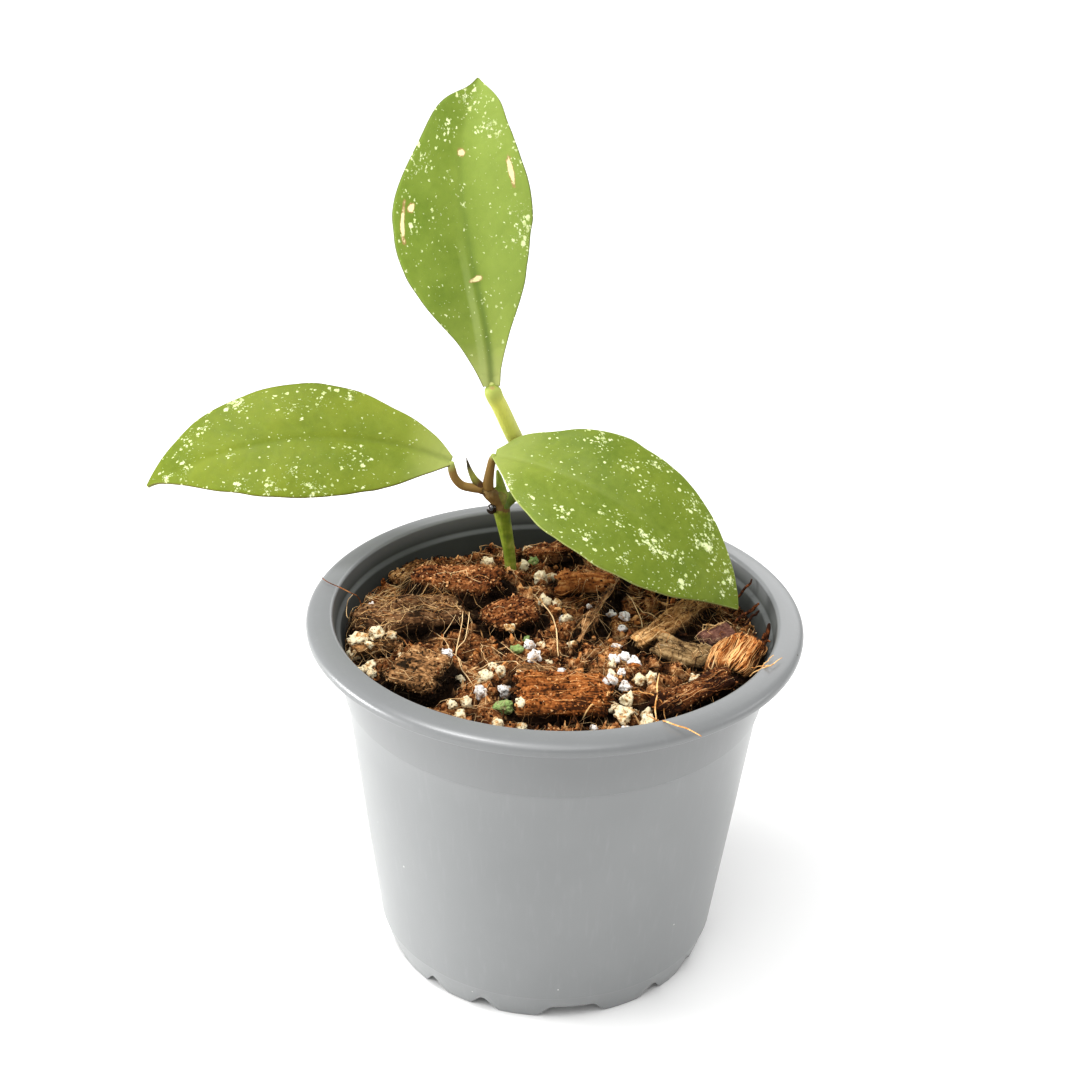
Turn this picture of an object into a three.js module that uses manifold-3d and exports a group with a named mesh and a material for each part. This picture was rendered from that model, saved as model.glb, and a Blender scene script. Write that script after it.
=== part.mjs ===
// A rooted hoya cutting with three leaves in a grey nursery pot.
// Millimetres, +Z up. The origin is on the pot's axis, on the surface that the pot stands on.
// The front is -Y, and +X is to the right of it.
import * as THREE from 'three';
import { LoftGeometry } from 'three/addons/geometries/LoftGeometry.js';
import { mergeVertices } from 'three/addons/utils/BufferGeometryUtils.js';
import Module from 'manifold-3d';

const wasm = await Module();
wasm.setup();

// Driving dimensions
const gap = 0.3;
const turn = 2 * Math.PI;

const pot = {
  height: 80.3,
  rimRadius: 52.5,
  mouthRadius: 46.8,
  lipDepth: 3.1,
  ledgeDepth: 4,
  ledgeRadius: 45.2,
  upperWallRadius: 47,
  stepDepth: 17.5,
  stepRadius: 44.3,
  stepOut: 0.5,
  shoulderRadius: 37.1,
  shoulderHeight: 6.4,
  footRadius: 35,
  footThickness: 1.6,
  wall: 1.2,
  floorUnderside: 3.6,
  floorTop: 5,
  padRadius: 9,
  padFloor: 1.5,
  segments: 48,
};
const notch = {
  height: 3.3,
  flank: 4.6,
  frontAngle: -80,
  // Centre and width of each foot in degrees from the wide front notch, the same to both sides of it
  feet: [[19, 13.8], [41.5, 9.8], [63.5, 13.5], [90, 13], [116.5, 13.5], [138.5, 9.8], [161, 13.8]],
};
const drain = { count: 8, circle: 21, radius: 3.2 };

const mix = { level: 72.6, edgeDrop: 1.4, segments: 40, rings: 9 };

const rootCount = 6;

// Angles are degrees: heading from +X, pitch above the horizontal, roll about the midrib.
// An outline row is the share of the blade's length with the half widths on its left and right.
const leaves = {
  leaf_left: {
    base: [-23.4, 27, 101.1],
    heading: 183,
    pitch: 23.3,
    roll: -42,
    length: 68.2,
    bend: 31.4,
    sweep: [45, 0],
    twist: -4,
    fold: [7, 2],
    camber: 0.1,
    outline: [
      [0, 1, 1.3], [0.07, 4.9, 4.7], [0.18, 9.6, 7.9], [0.32, 12.8, 11.5], [0.47, 13.4, 13.2],
      [0.62, 12, 12.8], [0.77, 8.4, 10.4], [0.89, 3.7, 6.1], [0.96, 0.9, 2.6], [1, 0.25, 0.25],
    ],
    petiole: [[-16.8, 28, 94.3], [-18.9, 27.6, 94.6], [-21.1, 27.3, 95.3], [-22.6, 27, 97.1],
      [-23.4, 27, 99.5], [-23.6, 27, 101.3], [-24.6, 26.9, 102]],
    petioleRadii: [1.15, 1, 0.95, 0.92, 0.9, 0.85, 0.6],
    colour: 0x7f9a3c,
  },
  leaf_right: {
    base: [-14.1, 27, 103.3],
    heading: -32.3,
    pitch: 8.2,
    roll: 26.6,
    length: 66.4,
    bend: 68.1,
    sweep: [-11.5, 0],
    twist: 1.9,
    fold: [10, 2],
    camber: 0.1,
    outline: [
      [0, 1.5, 1.1], [0.07, 6.3, 5.2], [0.18, 10.3, 11.2], [0.32, 14.4, 15], [0.47, 15.5, 16.1],
      [0.62, 14.2, 14.9], [0.77, 10.8, 10.9], [0.89, 6.2, 5.1], [0.96, 2.9, 2], [1, 0.25, 0.25],
    ],
    petiole: [[-15.4, 28, 94.6], [-15.3, 27.6, 96.6], [-14.9, 27.3, 99.7], [-14.4, 27, 102.2],
      [-13.9, 26.9, 103.3], [-12.6, 26.3, 103.6]],
    petioleRadii: [1.3, 1.15, 0.95, 0.85, 0.8, 0.6],
    colour: 0x7f9a3c,
  },
  leaf_top: {
    base: [-15, 29, 118.4],
    heading: 105,
    pitch: 84.2,
    roll: -5.1,
    length: 66.4,
    bend: 22.7,
    sweep: [61.9, -92.4],
    twist: -5.6,
    fold: [16, 8],
    camber: 0.12,
    outline: [
      [0, 1.8, 1.7], [0.07, 4, 2.4], [0.18, 7.5, 5.4], [0.32, 12.5, 10.3], [0.47, 16, 13.7],
      [0.62, 14.6, 14.4], [0.77, 9.4, 12.2], [0.89, 6, 8.8], [0.96, 1.6, 5.6], [1, 0.25, 0.25],
    ],
    petiole: [[-14.7, 29.2, 116.6], [-15, 29, 118.4], [-15.2, 29.1, 120], [-15.5, 29.3, 123]],
    petioleRadii: [1.55, 1.55, 1.4, 0.7],
    colour: 0x87a543,
  },
};
const bladeThickness = { midrib: 1.3, margin: 0.7 };
const bladeRows = 20;
const bladeColumns = 6;

// Chunks of husk and bark: centre on the plan, height of the centre above the pot's rim plane (negative
// is below), length, width and height, then heading, pitch and roll in degrees.
const chunks = {
  husk_log: { at: [-31, 3.2, -6], size: [25, 10.5, 7.5], turn: [20, -3, 8], colour: 0x7a5a41 },
  husk_mound: { at: [-21.5, 17.5, -5], size: [19, 12, 7], turn: [-14, 4, -10], colour: 0x83502f },
  husk_chip: { at: [-9.6, 4.8, -5.2], size: [11.5, 8, 5.5], turn: [38, 5, 12], colour: 0x8a4b2a },
  husk_block: { at: [-27.5, -18.8, -6.2], size: [12, 12.5, 7.5], turn: [-32, 6, 10], colour: 0x6d452c },
  husk_front: { at: [2, -25.5, -6.6], size: [18.5, 13, 5.5], turn: [6, -2, 10], colour: 0x9a5a31 },
  husk_back: { at: [6.6, 22.2, -6.5], size: [13, 6.5, 4.5], turn: [-8, 6, 14], colour: 0x98552c },
  bark_stick: { at: [25.6, 6.2, -5.6], size: [24, 4.6, 3.6], turn: [52, 3, 12], colour: 0x8d6a43 },
  bark_flake: { at: [27, -6.9, -5.4], size: [12, 4.6, 2], turn: [-22, -4, 22], colour: 0x9c7c55 },
  bark_chip: { at: [34.6, -0.4, -6], size: [7.5, 5.5, 5], turn: [28, 8, 24], colour: 0x5f3e33 },
  husk_fan: { at: [37.8, -11, -4.8], size: [8.5, 9.5, 6.5], turn: [-24, 16, 12], colour: 0xb0713b },
  husk_strip: { at: [28.4, -23, -6.4], size: [20, 5.6, 5], turn: [29, 8, 16], colour: 0x8f532c },
  husk_rear: { at: [-1.5, 37.6, -7.2], size: [12, 6, 4.6], turn: [12, 6, -14], colour: 0x8a4d2b },
  husk_shade: { at: [25, 26, -6.8], size: [14, 7.5, 5], turn: [-38, 4, -10], colour: 0x7d4a2d },
  husk_side: { at: [-31.6, 26.6, -7.4], size: [11, 5.5, 4], turn: [48, 4, -10], colour: 0x8a5634 },
};

// Larger grains of perlite, pumice and algae-green pumice: plan position and breadth.
const grainTones = { white: 0xf1efe9, cream: 0xdccaa0, green: 0x86a070 };
const grains = [
  ['cream', -41.8, -8.8, 3.2], ['cream', -37.6, -6.2, 4.2], ['white', -39.6, 9.8, 2.9],
  ['cream', -38.2, -14, 2.8], ['white', -22.2, -9.4, 2.6], ['green', -7.9, -6.4, 2.5],
  ['white', -4.2, -9.6, 3.2], ['cream', -14.4, -18.4, 3.2], ['white', -15, -23.2, 2.7],
  ['white', -9.8, -23, 3], ['green', -9.8, -29.4, 3.3], ['cream', -19, -31, 3],
  ['cream', -11, -34.6, 2.6], ['green', -4.9, 32.6, 2.4], ['cream', -3.2, 25.6, 3.1],
  ['cream', -2.2, 14.6, 3.1], ['cream', -15.2, 31.6, 3], ['white', 15, 9.2, 2.4],
  ['white', 16.8, -11, 2.7], ['white', 14.4, -20.4, 2.7], ['cream', 17.6, -17.6, 2.8],
  ['cream', 14.6, -25.4, 3.2], ['cream', 14.2, -30.8, 3.6], ['cream', 18.8, -31.6, 3.2],
];

const radians = THREE.MathUtils.degToRad;

function seededRandom(seed) {
  let state = seed;
  return () => {
    state = (state * 1664525 + 1013904223) % 4294967296;
    return state / 4294967296;
  };
}

// Joining and cutting

function solidOf(geometry, matrix) {
  const bare = new THREE.BufferGeometry();
  bare.setAttribute('position', geometry.attributes.position.clone());
  bare.setIndex(geometry.index);
  if (matrix) {
    bare.applyMatrix4(matrix);
  }
  const merged = mergeVertices(bare, 1e-4);
  const index = merged.index.array;
  const kept = [];
  for (let i = 0; i < index.length; i += 3) {
    const [a, b, c] = [index[i], index[i + 1], index[i + 2]];
    if (a !== b && b !== c && c !== a) {
      kept.push(a, b, c);
    }
  }
  const mesh = new wasm.Mesh({
    numProp: 3,
    vertProperties: merged.attributes.position.array,
    triVerts: new Uint32Array(kept),
  });
  return new wasm.Manifold(mesh);
}

function geometryOf(solid) {
  const mesh = solid.getMesh();
  const geometry = new THREE.BufferGeometry();
  geometry.setAttribute('position', new THREE.BufferAttribute(mesh.vertProperties, 3));
  geometry.setIndex(new THREE.BufferAttribute(mesh.triVerts, 1));
  geometry.computeVertexNormals();
  return geometry;
}

function joined(solids) {
  return solids.reduce((whole, solid) => whole.add(solid));
}

// A cut can leave a loose crumb beside the piece, and only the piece itself stays.
function largestBody(solid) {
  return solid.decompose().sort((a, b) => b.volume() - a.volume())[0];
}

const part = new THREE.Group();

function place(name, solid, colour, roughness) {
  const material = new THREE.MeshStandardMaterial({ color: colour, roughness, metalness: 0 });
  const mesh = new THREE.Mesh(geometryOf(solid), material);
  mesh.name = name;
  part.add(mesh);
}

// A round tube along a curve, with a radius at each of its points, closed at both ends
function tube(points, radii, { sides = 7, steps = 12, extra = 0 } = {}) {
  const curve = new THREE.CatmullRomCurve3(points.map((p) => new THREE.Vector3(...p)));
  const frames = curve.computeFrenetFrames(steps, false);
  const sections = [];
  for (let i = 0; i <= steps; i++) {
    const share = i / steps;
    const along = curve.getUtoTmapping(share) * (radii.length - 1);
    const low = Math.min(Math.floor(along), radii.length - 2);
    const radius = THREE.MathUtils.lerp(radii[low], radii[low + 1], along - low) + extra;
    const centre = curve.getPointAt(share);
    const ring = [];
    for (let k = 0; k < sides; k++) {
      const angle = (k / sides) * turn;
      const out = frames.normals[i].clone().multiplyScalar(radius * Math.cos(angle));
      out.addScaledVector(frames.binormals[i], radius * Math.sin(angle));
      ring.push(out.add(centre));
    }
    sections.push(ring);
  }
  return solidOf(new LoftGeometry(sections, { capStart: true, capEnd: true }));
}

// Pot: one moulded wall turned about its axis, with the feet left between notches cut in the foot ring

function potProfile() {
  const top = pot.height;
  const step = top - pot.stepDepth;
  const slope = (pot.stepRadius - pot.shoulderRadius) / (step - pot.shoulderHeight);
  const innerAt = (z) => pot.shoulderRadius - pot.wall + slope * (z - pot.shoulderHeight);
  const points = [
    [0, 0],
    [pot.padRadius - 1.5, 0],
    [pot.padRadius, pot.floorUnderside],
    [pot.footRadius - pot.footThickness, pot.floorUnderside],
    [pot.footRadius - pot.footThickness, 0],
    [pot.footRadius, 0],
    [pot.shoulderRadius - 0.2, pot.shoulderHeight - 0.5],
    [pot.shoulderRadius, pot.shoulderHeight],
    [pot.stepRadius, step],
    [pot.stepRadius + pot.stepOut, step + 0.3],
    [pot.upperWallRadius, top - pot.lipDepth - 0.2],
    [pot.rimRadius - 0.6, top - pot.lipDepth - 0.2],
    [pot.rimRadius - 0.1, top - pot.lipDepth + 0.2],
    [pot.rimRadius, top - 1.9],
    [pot.rimRadius - 0.4, top - 1.1],
    [pot.rimRadius - 1.4, top - 0.55],
    [pot.rimRadius - 3.2, top - 0.15],
    [pot.mouthRadius + 0.5, top],
    [pot.mouthRadius, top - 0.35],
    [pot.ledgeRadius + 0.9, top - pot.ledgeDepth + 0.2],
    [pot.ledgeRadius, top - pot.ledgeDepth - 0.4],
    [innerAt(step), step],
    [innerAt(pot.floorTop + 1.2), pot.floorTop + 1.2],
    [innerAt(pot.floorTop) - 1, pot.floorTop],
    [pot.padRadius - 0.6, pot.floorTop],
    [pot.padRadius - 2.2, pot.padFloor],
    [0, pot.padFloor],
  ];
  return points.map(([r, z]) => new THREE.Vector2(r, z));
}

// A lathe turns about Y, so this stands it up on +Z.
const upright = new THREE.Matrix4().makeRotationX(Math.PI / 2);

function notchCutter(centre, width) {
  const half = (degrees) => pot.footRadius * Math.tan(radians(degrees));
  const outline = new THREE.Shape([
    new THREE.Vector2(-half(width / 2), -1),
    new THREE.Vector2(half(width / 2), -1),
    new THREE.Vector2(half(width / 2), 0),
    new THREE.Vector2(half(width / 2 - notch.flank), notch.height),
    new THREE.Vector2(-half(width / 2 - notch.flank), notch.height),
    new THREE.Vector2(-half(width / 2), 0),
  ]);
  const depth = 12;
  const geometry = new THREE.ExtrudeGeometry(outline, { depth, bevelEnabled: false });
  geometry.rotateX(Math.PI / 2);
  geometry.translate(0, -pot.footRadius + depth / 2 + 4, 0);
  geometry.rotateZ(radians(centre + 90));
  return solidOf(geometry);
}

function notchList() {
  const edges = [];
  const sides = [1, -1];
  for (const side of sides) {
    notch.feet.forEach(([centre, width]) => {
      edges.push([side * centre - width / 2, side * centre + width / 2]);
    });
  }
  const ordered = edges.map(([a, b]) => [(a + 360) % 360, (b + 360) % 360]).sort((a, b) => a[0] - b[0]);
  return ordered.map(([, end], i) => {
    const next = ordered[(i + 1) % ordered.length][0];
    const width = (next - end + 360) % 360;
    return [notch.frontAngle + end + width / 2, width];
  });
}

function makePot() {
  let body = solidOf(new THREE.LatheGeometry(potProfile(), pot.segments), upright);
  for (const [centre, width] of notchList()) {
    body = body.subtract(notchCutter(centre, width));
  }
  for (let i = 0; i < drain.count; i++) {
    const angle = ((i + 0.5) / drain.count) * turn;
    const hole = new THREE.CylinderGeometry(drain.radius, drain.radius, 4, 12);
    hole.rotateX(Math.PI / 2);
    hole.translate(drain.circle * Math.cos(angle), drain.circle * Math.sin(angle), pot.floorTop - 1);
    body = body.subtract(solidOf(hole));
  }
  return body;
}

// Potting mix: fills the pot and is low at the wall, with mounds where the coarse husk lies

const mounds = [[-21, 17, 13, 2.2], [-29, 2, 12, 1.4], [4, -22, 12, 1], [24, -12, 12, 1], [-12, 27, 6, 0.8]];

function mixHeight(x, y) {
  let height = mix.level;
  for (const [cx, cy, spread, rise] of mounds) {
    height += rise * Math.exp(-((x - cx) ** 2 + (y - cy) ** 2) / (2 * spread ** 2));
  }
  height += 0.55 * Math.sin(0.33 * x + 1.1) * Math.cos(0.29 * y - 0.4);
  height += 0.35 * Math.sin(0.71 * x - 0.52 * y + 2) + 0.25 * Math.cos(0.9 * y + 0.44 * x);
  return height - mix.edgeDrop * (Math.hypot(x, y) / pot.ledgeRadius) ** 6;
}

function makeMix() {
  const step = pot.height - pot.stepDepth;
  const slope = (pot.stepRadius - pot.shoulderRadius) / (step - pot.shoulderHeight);
  const wallAt = (z) => pot.shoulderRadius - pot.wall + slope * (z - pot.shoulderHeight) - gap;
  const bottom = pot.floorTop + gap;
  const edge = wallAt(step) + 0.9;
  const profile = [
    [0, pot.padFloor + gap],
    [pot.padRadius - 2.6, pot.padFloor + gap],
    [pot.padRadius - 1, bottom],
    [wallAt(bottom) - 1.2, bottom],
    [wallAt(bottom + 1.4), bottom + 1.4],
    [wallAt(step), step],
  ];
  for (let i = 0; i < mix.rings; i++) {
    profile.push([edge * (1 - i / mix.rings), mix.level]);
  }
  profile.push([0, mix.level]);
  const points = profile.map(([r, z]) => new THREE.Vector2(r, z));
  const geometry = new THREE.LatheGeometry(points, mix.segments);
  geometry.applyMatrix4(upright);
  const position = geometry.attributes.position;
  for (let i = 0; i < position.count; i++) {
    if (position.getZ(i) > mix.level - 0.5) {
      position.setZ(i, mixHeight(position.getX(i), position.getY(i)));
    }
  }
  return solidOf(geometry);
}

// Husk, bark and grains: rounded blocks whose faces are roughened by a seeded draw

function bareGeometry(geometry) {
  geometry.deleteAttribute('normal');
  geometry.deleteAttribute('uv');
  return mergeVertices(geometry, 1e-4);
}

// A unit block with its corners drawn in, scaled to the three sides
function roundedBlock([length, width, height], cells, shape) {
  const geometry = bareGeometry(new THREE.BoxGeometry(1, 1, 1, ...cells));
  const position = geometry.attributes.position;
  for (let i = 0; i < position.count; i++) {
    const p = new THREE.Vector3().fromBufferAttribute(position, i).multiplyScalar(2);
    const corner = Math.abs(p.x) ** 4 + Math.abs(p.y) ** 4 + Math.abs(p.z) ** 4 - 1;
    p.multiplyScalar(1 - 0.1 * Math.max(0, corner));
    shape(p);
    position.setXYZ(i, (p.x * length) / 2, (p.y * width) / 2, (p.z * height) / 2);
  }
  return geometry;
}

const chunkRoughness = 0.06;
const chunkRidge = 0.08;

function chunkGeometry(size, seed) {
  const random = seededRandom(seed);
  const cells = [Math.max(2, Math.round(size[0] / 3)), Math.max(2, Math.round(size[1] / 3.2)), 2];
  return roundedBlock(size, cells, (p) => {
    const ridge = 1 + chunkRidge * Math.sin(3 * p.y + seed) * (1 - p.x * p.x);
    p.multiplyScalar(1 + chunkRoughness * (2 * random() - 1));
    p.y *= ridge;
    p.z *= ridge;
  });
}

// The hollow that a chunk lies in clears its roughest face.
function chunkSeat(size) {
  const reach = 1 + chunkRoughness + chunkRidge;
  return roundedBlock(size.map((side) => side * reach + 2 * gap), [2, 2, 2], () => {});
}

function chunkMatrix({ at, turn: [heading, pitch, roll] }) {
  const matrix = new THREE.Matrix4().makeRotationFromEuler(
    new THREE.Euler(radians(roll), radians(-pitch), radians(heading), 'ZYX'),
  );
  return matrix.setPosition(at[0], at[1], pot.height + at[2]);
}

function grainGeometry(breadth, seed, grow = 0) {
  const geometry = bareGeometry(new THREE.IcosahedronGeometry(1, 0));
  const position = geometry.attributes.position;
  const random = seededRandom(seed);
  const squash = [1.05 + 0.2 * random(), 0.9 + 0.2 * random(), 0.8 + 0.15 * random()];
  for (let i = 0; i < position.count; i++) {
    const reach = (breadth / 2) * (0.94 + 0.24 * random()) + grow;
    const p = new THREE.Vector3().fromBufferAttribute(position, i).multiplyScalar(reach);
    position.setXYZ(i, p.x * squash[0], p.y * squash[1], p.z * squash[2]);
  }
  return geometry;
}

// Stem: the old cutting with its fork and dead bud, the new shoot and the roots are one grown piece

function makeStem(extra = 0) {
  const piece = (points, radii, options = {}) => tube(points, radii, { ...options, extra });
  const pieces = [
    piece(
      [[-9.2, 28.3, 52], [-9.6, 28.4, 62], [-10, 28.5, 73.9], [-10.7, 28.5, 80.2], [-11.9, 28.5, 86.4],
        [-12.5, 28.6, 90.1], [-12.6, 28.7, 92.4]],
      [1.1, 1.4, 1.3, 1.4, 1.7, 1.95, 1.3],
      { steps: 11 },
    ),
    piece(
      [[-12.2, 28.6, 89.4], [-13.4, 28.4, 91.6], [-14.9, 28.1, 93.1], [-16, 28, 94.1]],
      [1.8, 1.75, 1.6, 1.2],
      { steps: 5 },
    ),
    piece([[-16.4, 28, 93.6], [-17.2, 28, 94.9], [-18.5, 28, 96.7], [-19.6, 28, 99.2], [-20.2, 28, 101.8]],
      [1.1, 1.05, 0.8, 0.5, 0.15], { sides: 6, steps: 6 }),
    piece([[-12, 29, 90.8], [-12.5, 29.3, 93.5], [-13, 29.7, 96], [-13.5, 30, 98]],
      [1.5, 1.2, 0.8, 0.3], { sides: 6, steps: 5 }),
    piece(
      [[-12, 28.7, 90.3], [-9.3, 30.3, 92.2], [-7.2, 32.4, 95.2], [-7.2, 33.3, 99.6], [-9.9, 32.2, 105],
        [-12.9, 30.3, 112.5], [-14.5, 29.3, 116]],
      [1.5, 1.3, 1.25, 1.4, 1.6, 1.55, 1.6],
      { steps: 14 },
    ),
    piece([[-14, 28, 89.7], [-14.6, 27.3, 89.8], [-14.9, 26.9, 89.8]],
      [0.9, 0.95, 0.5], { sides: 6, steps: 3 }),
    piece([[-9.8, 28.2, 75.2], [-9.2, 27.6, 73.6], [-8.5, 26.8, 71.4]],
      [0.6, 0.45, 0.25], { sides: 5, steps: 4 }),
  ];
  for (let i = 0; i < rootCount; i++) {
    const angle = (i / rootCount) * turn + 0.4 * Math.sin(5 * i);
    const reach = 9 + 4 * Math.sin(2.3 * i + 1);
    const start = 54 + 1.6 * (i % 4);
    const away = (share, drop) => [
      -9.3 + reach * share * Math.cos(angle),
      28.3 + reach * share * 0.8 * Math.sin(angle),
      start - drop,
    ];
    pieces.push(
      piece([away(0, 0), away(0.35, 2), away(0.75, 7), away(1, 15 + (i % 3) * 4)], [0.85, 0.7, 0.55, 0.35], {
        sides: 4,
        steps: 5,
      }),
    );
  }
  return joined(pieces);
}

// Leaves: the midrib leaves the stem in one direction and turns evenly, and the blade is folded and cambered

function leafFrame(leaf, share) {
  const [heading, pitch, roll] = [leaf.heading, leaf.pitch, leaf.roll].map(radians);
  const ahead = new THREE.Vector3(
    Math.cos(pitch) * Math.cos(heading),
    Math.cos(pitch) * Math.sin(heading),
    Math.sin(pitch),
  );
  const level = new THREE.Vector3(-Math.sin(heading), Math.cos(heading), 0);
  const left = level.clone().applyAxisAngle(ahead, roll);
  const up = ahead.clone().cross(left);
  const bend = radians(leaf.bend) * share;
  const sweep = radians(leaf.sweep[0]) * share + radians(leaf.sweep[1]) * share ** 2;
  const along = ahead.clone().multiplyScalar(Math.cos(bend) * Math.cos(sweep));
  along.addScaledVector(left, Math.cos(bend) * Math.sin(sweep)).addScaledVector(up, -Math.sin(bend));
  const face = ahead.multiplyScalar(Math.sin(bend)).addScaledVector(up, Math.cos(bend));
  const across = face.cross(along).normalize();
  across.applyAxisAngle(along, radians(leaf.twist) * share);
  return { along, across, face: along.clone().cross(across) };
}

function midrib(leaf, count) {
  const points = [new THREE.Vector3(...leaf.base)];
  for (let i = 0; i < count; i++) {
    const { along } = leafFrame(leaf, (i + 0.5) / count);
    points.push(points[i].clone().addScaledVector(along, leaf.length / count));
  }
  return points;
}

// One row of points across the blade for each step along it, on the upper and on the lower face
function bladeRowsOf(leaf) {
  const fine = 100;
  const ribs = midrib(leaf, fine);
  const outline = new THREE.CatmullRomCurve3(
    leaf.outline.map((row) => new THREE.Vector3(...row)),
    false,
    'catmullrom',
    0.5,
  );
  const rows = [];
  for (let i = 0; i <= bladeRows; i++) {
    const { x, y: widthLeft, z: widthRight } = outline.getPoint(i / bladeRows);
    const share = THREE.MathUtils.clamp(x, 0, 1);
    const cell = Math.min(Math.floor(share * fine), fine - 1);
    const centre = ribs[cell].clone().lerp(ribs[cell + 1], share * fine - cell);
    const { across, face } = leafFrame(leaf, share);
    const fold = radians(THREE.MathUtils.lerp(leaf.fold[0], leaf.fold[1], share));
    const upper = [];
    const lower = [];
    for (let k = 0; k <= bladeColumns; k++) {
      const q = 1 - (2 * k) / bladeColumns;
      const reach = q * (q > 0 ? widthLeft : widthRight);
      const lift = Math.abs(reach) * Math.sin(fold) - (leaf.camber * reach * reach) / 15;
      const thick = THREE.MathUtils.lerp(bladeThickness.midrib, bladeThickness.margin, Math.abs(q));
      const point = centre.clone().addScaledVector(across, reach * Math.cos(fold));
      upper.push(point.clone().addScaledVector(face, lift));
      lower.push(point.addScaledVector(face, lift - thick));
    }
    rows.push([upper, lower]);
  }
  return rows;
}

// Both faces are split along the same diagonals, so that the waved blade keeps its thickness.
function bladeGeometry(leaf) {
  const columns = bladeColumns + 1;
  const points = bladeRowsOf(leaf).flat(2);
  const at = (row, side, column) => (2 * row + side) * columns + column;
  const index = [];
  const quad = (a, b, c, d) => index.push(a, b, c, a, c, d);
  for (let i = 0; i < bladeRows; i++) {
    for (let k = 0; k < bladeColumns; k++) {
      quad(at(i, 0, k), at(i, 0, k + 1), at(i + 1, 0, k + 1), at(i + 1, 0, k));
      index.push(at(i, 1, k), at(i + 1, 1, k + 1), at(i, 1, k + 1));
      index.push(at(i, 1, k), at(i + 1, 1, k), at(i + 1, 1, k + 1));
    }
    quad(at(i, 1, 0), at(i, 0, 0), at(i + 1, 0, 0), at(i + 1, 1, 0));
    const last = bladeColumns;
    quad(at(i, 0, last), at(i, 1, last), at(i + 1, 1, last), at(i + 1, 0, last));
  }
  for (let k = 0; k < bladeColumns; k++) {
    quad(at(0, 1, k), at(0, 1, k + 1), at(0, 0, k + 1), at(0, 0, k));
    quad(at(bladeRows, 1, k), at(bladeRows, 0, k), at(bladeRows, 0, k + 1), at(bladeRows, 1, k + 1));
  }
  const geometry = new THREE.BufferGeometry().setFromPoints(points);
  geometry.setIndex(index);
  return geometry;
}

function makeLeaf(leaf) {
  return solidOf(bladeGeometry(leaf)).add(tube(leaf.petiole, leaf.petioleRadii, { steps: 8 }));
}

place('pot', makePot(), 0x9b9fa1, 0.42);

const stem = makeStem();
let fill = makeMix().subtract(makeStem(gap));

Object.entries(chunks).forEach(([name, chunk], i) => {
  const matrix = chunkMatrix(chunk);
  fill = fill.subtract(solidOf(chunkSeat(chunk.size), matrix));
  place(name, solidOf(chunkGeometry(chunk.size, i + 1), matrix), chunk.colour, 0.9);
});

grains.forEach(([tone, x, y, breadth], i) => {
  const sunk = 0.1 * breadth;
  const matrix = new THREE.Matrix4().makeTranslation(x, y, mixHeight(x, y) + sunk);
  fill = fill.subtract(solidOf(grainGeometry(breadth, i + 100, gap + 0.1), matrix));
  const name = `${tone === 'white' ? 'perlite' : 'pumice'}_${String(i + 1).padStart(2, '0')}`;
  place(name, solidOf(grainGeometry(breadth, i + 100), matrix), grainTones[tone], 0.85);
});

place('potting_mix', largestBody(fill), 0x6b4028, 0.95);
place('stem', stem, 0x8fa845, 0.5);

const stemClearance = makeStem(gap);
for (const [name, leaf] of Object.entries(leaves)) {
  place(name, largestBody(makeLeaf(leaf).subtract(stemClearance)), leaf.colour, 0.45);
}

export default part;
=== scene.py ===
# Rooted hoya cutting in a grey nursery pot: finish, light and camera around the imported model.
# Shapes are worked out in millimetres as whole arrays and put into the meshes in metres.
import math
import bpy
import numpy as np
from mathutils import Matrix, Vector


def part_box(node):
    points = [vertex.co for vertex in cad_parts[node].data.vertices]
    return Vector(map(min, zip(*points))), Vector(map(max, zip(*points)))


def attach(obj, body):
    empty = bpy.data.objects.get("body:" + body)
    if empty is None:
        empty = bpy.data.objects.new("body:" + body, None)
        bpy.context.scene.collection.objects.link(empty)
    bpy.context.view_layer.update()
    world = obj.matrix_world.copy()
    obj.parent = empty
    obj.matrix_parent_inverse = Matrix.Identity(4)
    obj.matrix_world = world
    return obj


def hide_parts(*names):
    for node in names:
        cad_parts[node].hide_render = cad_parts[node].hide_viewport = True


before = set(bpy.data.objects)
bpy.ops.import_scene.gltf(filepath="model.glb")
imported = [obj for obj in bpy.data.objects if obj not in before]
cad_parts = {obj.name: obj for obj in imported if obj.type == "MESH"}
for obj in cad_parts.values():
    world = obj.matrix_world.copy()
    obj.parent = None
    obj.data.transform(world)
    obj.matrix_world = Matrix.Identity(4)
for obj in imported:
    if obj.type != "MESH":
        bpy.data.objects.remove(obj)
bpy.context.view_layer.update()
mm = 0.001


# Smooth step: 0 up to low, 1 from high on, and 3 t^2 - 2 t^3 between them
def smoothStep(value, low, high):
    share = np.clip((value - low) / (high - low), 0, 1)
    return share * share * (3 - 2 * share)


# Each vector divided by its own length
def unit(vectors):
    return vectors / np.maximum(np.linalg.norm(vectors, axis=-1, keepdims=True), 1e-12)


# Lattice noise: a hashed value at each whole-number corner, blended by a quintic ease between the eight
# corners around a point. It runs from -1 to 1.
def noise(points, seed=0):
    points = np.asarray(points, float)
    corner = np.floor(points).astype(np.int64)
    part = points - corner
    ease = part ** 3 * (part * (6 * part - 15) + 10)
    total = np.zeros(points.shape[:-1])
    for step in np.ndindex(2, 2, 2):
        x, y, z = np.moveaxis(corner + step, -1, 0)
        code = x * 73856093 ^ y * 19349663 ^ z * 83492791 ^ (seed * 2654435761)
        code = ((code ^ (code >> 15)) * 2246822519) & 0xFFFFFFFF
        code = ((code ^ (code >> 13)) * 3266489917) & 0xFFFFFFFF
        value = ((code ^ (code >> 16)) & 0xFFFFFF) / 0x7FFFFF - 1
        total += value * np.prod(np.where(step, ease, 1 - ease), axis=-1)
    return total


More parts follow.
